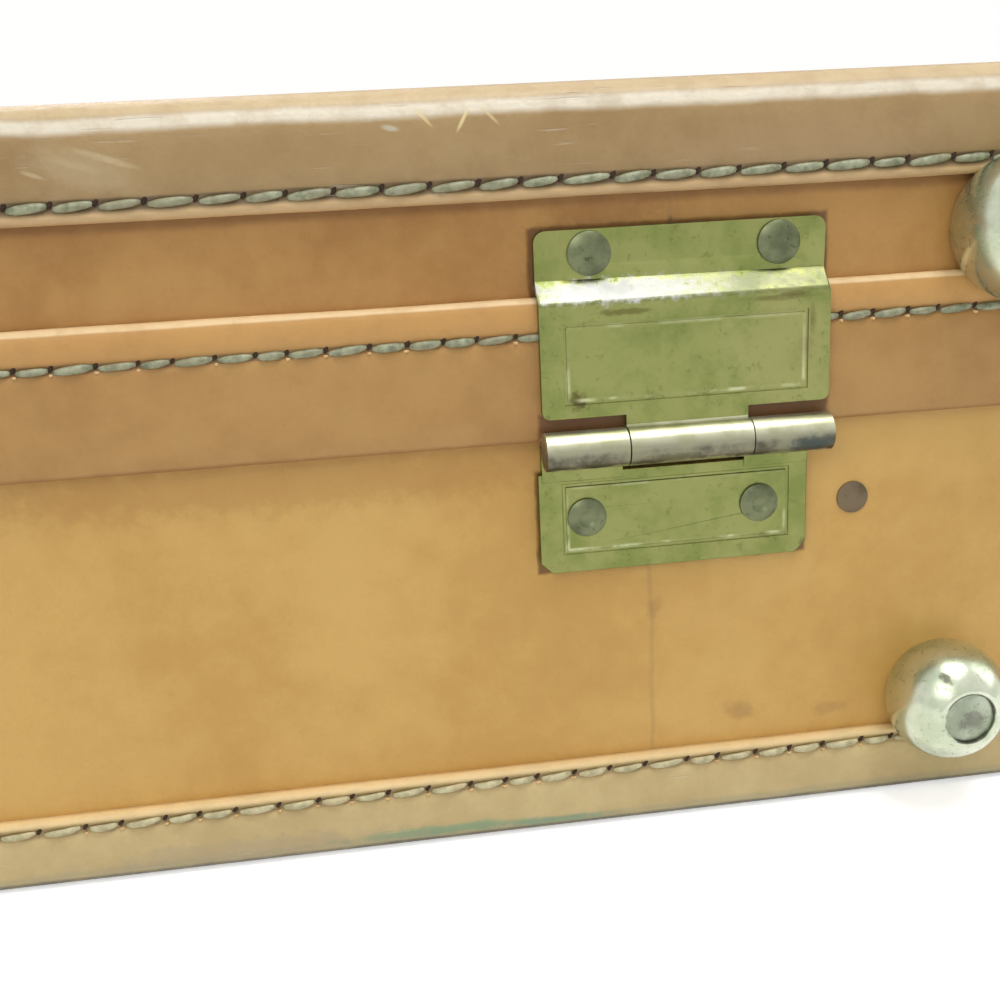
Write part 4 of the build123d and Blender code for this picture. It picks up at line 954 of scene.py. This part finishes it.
# Hinges: pressed brass leaves, lacquered once and now olive green, with an engraved border painted
# pale as a highlight. The lid leaf steps out over the valance, with a painted highlight on the step, and
# its plating is worn through along the barrel, whose lower side is darkened by dirt and painted shade.
tarnish_brown = (84, 78, 40)
hinge_brass = metal(
    "hinge_brass", (132, 135, 80), (114, 123, 66), (84, 80, 42), 0.3,
    marks=(
        # Paler metal across the step and a pale mark at its left: a painted highlight on the step.
        (-136.0, 168.0, 75.0, 30.0, 6, 1.6, 0.0, (140, 142, 118), 0.7),
        (-127.0, 168.0, 75.0, 14.0, 6, 1.7, 0.0, (196, 196, 194), 0.8),
        (-128.0, 168.0, 72.4, 4.5, 4, 0.5, 0.0, tarnish_brown, 0.6),
        (-148.5, 168.0, 72.9, 5.5, 4, 0.45, 0.0, tarnish_brown, 0.7),
        (-150.5, 168.0, 73.3, 2.4, 4, 0.4, 0.0, (60, 52, 28), 0.6),
        (-121.6, 168.0, 61.4, 1.5, 4, 1.3, 0.3, (78, 68, 40), 0.75),
        (-151.8, 168.0, 66.6, 1.4, 4, 1.6, 0.0, (120, 108, 72), 0.65),
        (-152.6, 168.0, 69.8, 0.6, 4, 2.4, 0.0, tarnish_brown, 0.6),
        (-147.0, 168.0, 40.6, 1.5, 4, 0.6, 0.4, (92, 84, 52), 0.55),
        (-152.6, 168.0, 39.0, 1.0, 4, 0.8, 0.0, (84, 74, 48), 0.6),
        (-149.0, 168.0, 66.0, 9.0, 4, 9.0, 0.0, (148, 146, 94), 0.5),
        # Dark crescents in the dished rivet heads of the base leaf: painted shadow.
        (-122.6, 168.0, 46.4, 1.5, 3, 0.7, 0.2, (52, 54, 38), 0.75),
        (-146.1, 168.0, 46.3, 1.5, 3, 0.6, 0.2, (70, 72, 50), 0.6),
        (-151.8, 171.4, 53.9, 3.6, 3, 1.5, -0.1, (70, 80, 78), 0.85),
        (-133.0, 171.4, 53.6, 5.0, 3, 0.9, 0.0, (78, 74, 52), 0.6),
    ),
    barrel=(axis_y, axis_z, (196, 194, 168), (58, 54, 42)),
    frames=((136.0, 66.1, 15.55, 4.65), (135.05, 45.15, 14.9, 4.3)),
)
for side in ("left", "right"):
    for part in ("lid", "base"):
        bends = (76.2, 73.9) if part == "lid" else ()
        leaf = crisp_copy(f"hinge_{part}_leaf_{side}", 0.16 * mm, hinge_brass, bends=bends)

plain_steel = metal("plain_steel", (150, 150, 146), (124, 122, 116), (86, 78, 66), 0.36)
for name in ("hinge_pins", "hasp_pins", "lock_springs", "handle_core", "hinge_backing_plates_base",
             "hinge_backing_plates_lid"):
    dress(name, plain_steel)

# Rivets of the hinges: soft metal heads, hammered flat and grey. Those of the base leaf are
# tubular, so their middles are dished.
rivet_grey = metal("rivet_grey", (112, 118, 88), (84, 90, 66), (58, 60, 42), 0.38, spots=0.6)
for name in ("hinge_rivets_lid", "hinge_rivets_base"):
    crisp_copy(name, 0.15 * mm, rivet_grey)
tack_brown = metal("tack_brown", (112, 98, 78), (88, 76, 60), (60, 48, 36), 0.5)
crisp_copy("tack_rivets", 0.1 * mm, tack_brown)

# Ball feet: hollow domes spun from nickel silver, bright on their crowns and green in the
# hollows, each with a flat rivet head let into its outer end.
foot_silver = metal(
    "foot_silver", (208, 212, 192), (182, 192, 166), (96, 96, 72), 0.2, spots=0.35,
    marks=((-169.6, 176.0, 21.0, 1.0, 2.0, 0.8, 0.5, (64, 60, 46), 0.8),
           (-176.8, 175.0, 22.4, 2.6, 3.0, 1.8, 0.0, (128, 156, 124), 0.6),
           (-180.0, 176.0, 80.0, 3.0, 3.0, 2.6, 0.4, (120, 150, 118), 0.6)),
    rings=((172.6, 15.4), (181.0, 80.0)))
foot_reach, recess_radius, recess_depth = 12.2, 3.54, 0.6
for body, radius, out in (("base", 8.3, 5.0), ("lid", 9.7, 4.5)):
    for side in ("left", "right"):
        low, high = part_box(f"ball_foot_{body}_{side}")
        middle = (low + high) / 2
        centre = (middle.x, half_width + out * mm, middle.z)
        bpy.ops.object.select_all(action="DESELECT")
        bpy.ops.mesh.primitive_uv_sphere_add(segments=64, ring_count=40, radius=radius * mm, location=centre)
        foot = bpy.context.object
        foot.name = f"ball_foot_{body}_{side}_dome"
        bpy.ops.object.transform_apply()
        edit_whole()
        bpy.ops.transform.rotate(value=math.pi / 2, orient_axis="X", center_override=centre)
        bpy.ops.mesh.bisect(plane_co=(0, half_width, 0), plane_no=(0, 1, 0), clear_inner=True, use_fill=True)
        bpy.ops.mesh.select_all(action="SELECT")
        bpy.ops.mesh.bisect(plane_co=(0, high.y, 0), plane_no=(0, 1, 0), clear_outer=True, use_fill=True)
        flat_radius = math.sqrt(radius**2 - (foot_reach - out) ** 2)
        bpy.ops.mesh.inset(thickness=(flat_radius - recess_radius) * mm, depth=0)
        bpy.ops.mesh.inset(thickness=0.001 * mm, depth=0)
        bpy.ops.transform.translate(value=(0, -recess_depth * mm, 0))
        bpy.ops.mesh.select_all(action="SELECT")
        bpy.ops.mesh.normals_make_consistent(inside=False)
        bpy.ops.object.mode_set(mode="OBJECT")
        bpy.ops.object.shade_smooth_by_angle(angle=math.radians(40))
        foot.data.materials.append(foot_silver)
        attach(foot, body)
        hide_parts(f"ball_foot_{body}_{side}")
foot_rivet_grey = metal(
    "foot_rivet_grey", (172, 180, 160), (142, 150, 130), (96, 96, 76), 0.3,
    marks=[(-173.0, 177.0, 15.0, 2.4, 1.5, 1.7, 0.0, (108, 108, 98), 0.7)])
for name in ("foot_rivets_base", "foot_rivets_lid"):
    crisp_copy(name, 0.2 * mm, foot_rivet_grey)

# Locks and handle mounts on the front: the same brass as the hinges, brighter from handling.
lock_brass = metal("lock_brass", (180, 172, 108), (164, 158, 96), (104, 92, 54), 0.27, spots=0.2)
for side in ("left", "right"):
    for name in (f"lock_case_{side}", f"latch_button_{side}", f"hasp_plate_{side}", f"hasp_{side}",
                 f"handle_mount_{side}", f"stay_track_{side}", f"stay_bracket_{side}", f"stay_arm_{side}"):
        crisp_copy(name, 0.2 * mm, lock_brass)
for name in ("lock_case_rivets", "hasp_plate_rivets", "handle_mount_rivets", "stay_track_rivets",
             "stay_bracket_rivets", "handle_loops"):
    dress(name, lock_brass)

# Grip: hide wrapped over a steel core and sewn along both edges of its outer face, darkened
# and polished by hands.
grip_hide = hide("grip_hide", (150, 98, 52), (112, 66, 32), 60.0, 0.9, 0.34, relief=0.0001)
grip = crisp_copy("handle_grip", 0.3 * mm, grip_hide, suffix="hide")
grip_stations = [(0.0, 8.6, 14.2, 7.0, 7.6), (24.0, 8.4, 14.8, 6.8, 7.2), (38.0, 7.6, 18.0, 5.4, 5.6),
                 (48.0, 6.0, 23.6, 4.0, 4.2), (59.5, 5.2, 28.0, 3.6, 3.7)]
seam_turn, seam_start, seam_pitch, seam_stitch, seam_count = math.radians(42), -55.5, 3.7, 3.3, 30


def grip_seam(x, angle):
    """Point and outward direction on the grip's hide, x millimetres along it and at an angle round it."""
    for near, far in zip(grip_stations, grip_stations[1:]):
        if abs(x) <= far[0]:
            share = (abs(x) - near[0]) / (far[0] - near[0])
            _, out, height, depth, tall = [a + (b - a) * share for a, b in zip(near, far)]
            break
    guess = Vector((x, -half_width / mm - out - depth * math.cos(angle), height + tall * math.sin(angle)))
    _, found, facing, _ = grip.closest_point_on_mesh(guess * mm)
    return found, facing


points, faces = [], []
for angle in (seam_turn, -seam_turn):
    for index in range(seam_count):
        x = seam_start + seam_pitch * index
        start, _ = grip_seam(x, angle)
        end, out = grip_seam(x + seam_stitch, angle)
        long = (end - start).length
        lie = (end - start).normalized()
        lay_stitch(points, faces, (start + end) / 2, lie, out.cross(lie), out, long, 0.85 * mm)
plain_piece("handle_grip_stitches", points, faces, pale_thread, "handle")


# Document pocket: its mouth is edged with a folded strip of the binding's hide, sewn through.
pocket_low, pocket_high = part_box("document_pocket_panel")
pocket_z = (pocket_low.z + pocket_high.z) / 2
edging_size = (pocket_high.x - pocket_low.x - 12 * mm, 6.4 * mm, 2.2 * mm)
mouth_start, mouth_pitch, mouth_count = -208.0, 4.08, 103
bpy.ops.object.select_all(action="DESELECT")
bpy.ops.mesh.primitive_cube_add(size=1.0, location=(0, pocket_low.y + 2.6 * mm, pocket_z), scale=edging_size)
edging = bpy.context.object
edging.name = "document_pocket_edging"
bpy.ops.object.transform_apply()
edit_whole()
bpy.ops.mesh.bevel(offset=0.5 * mm, segments=3, affect="EDGES")
bpy.ops.object.mode_set(mode="OBJECT")
bpy.ops.object.shade_smooth_by_angle(angle=math.radians(40))
edging.data.materials.append(grip_hide)
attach(edging, "lid")
points, faces = [], []
lie, rise, out = Vector((1, 0, 0)), Vector((0, 1, 0)), Vector((0, 0, -1))
for index in range(mouth_count):
    middle = Vector((mouth_start + mouth_pitch * index, pocket_low.y / mm + 4.4, pocket_z / mm - 1.1)) * mm
    lay_stitch(points, faces, middle, lie, rise, out, 3.4 * mm, 0.8 * mm)
plain_piece("document_pocket_stitches", points, faces, pale_thread, "lid")
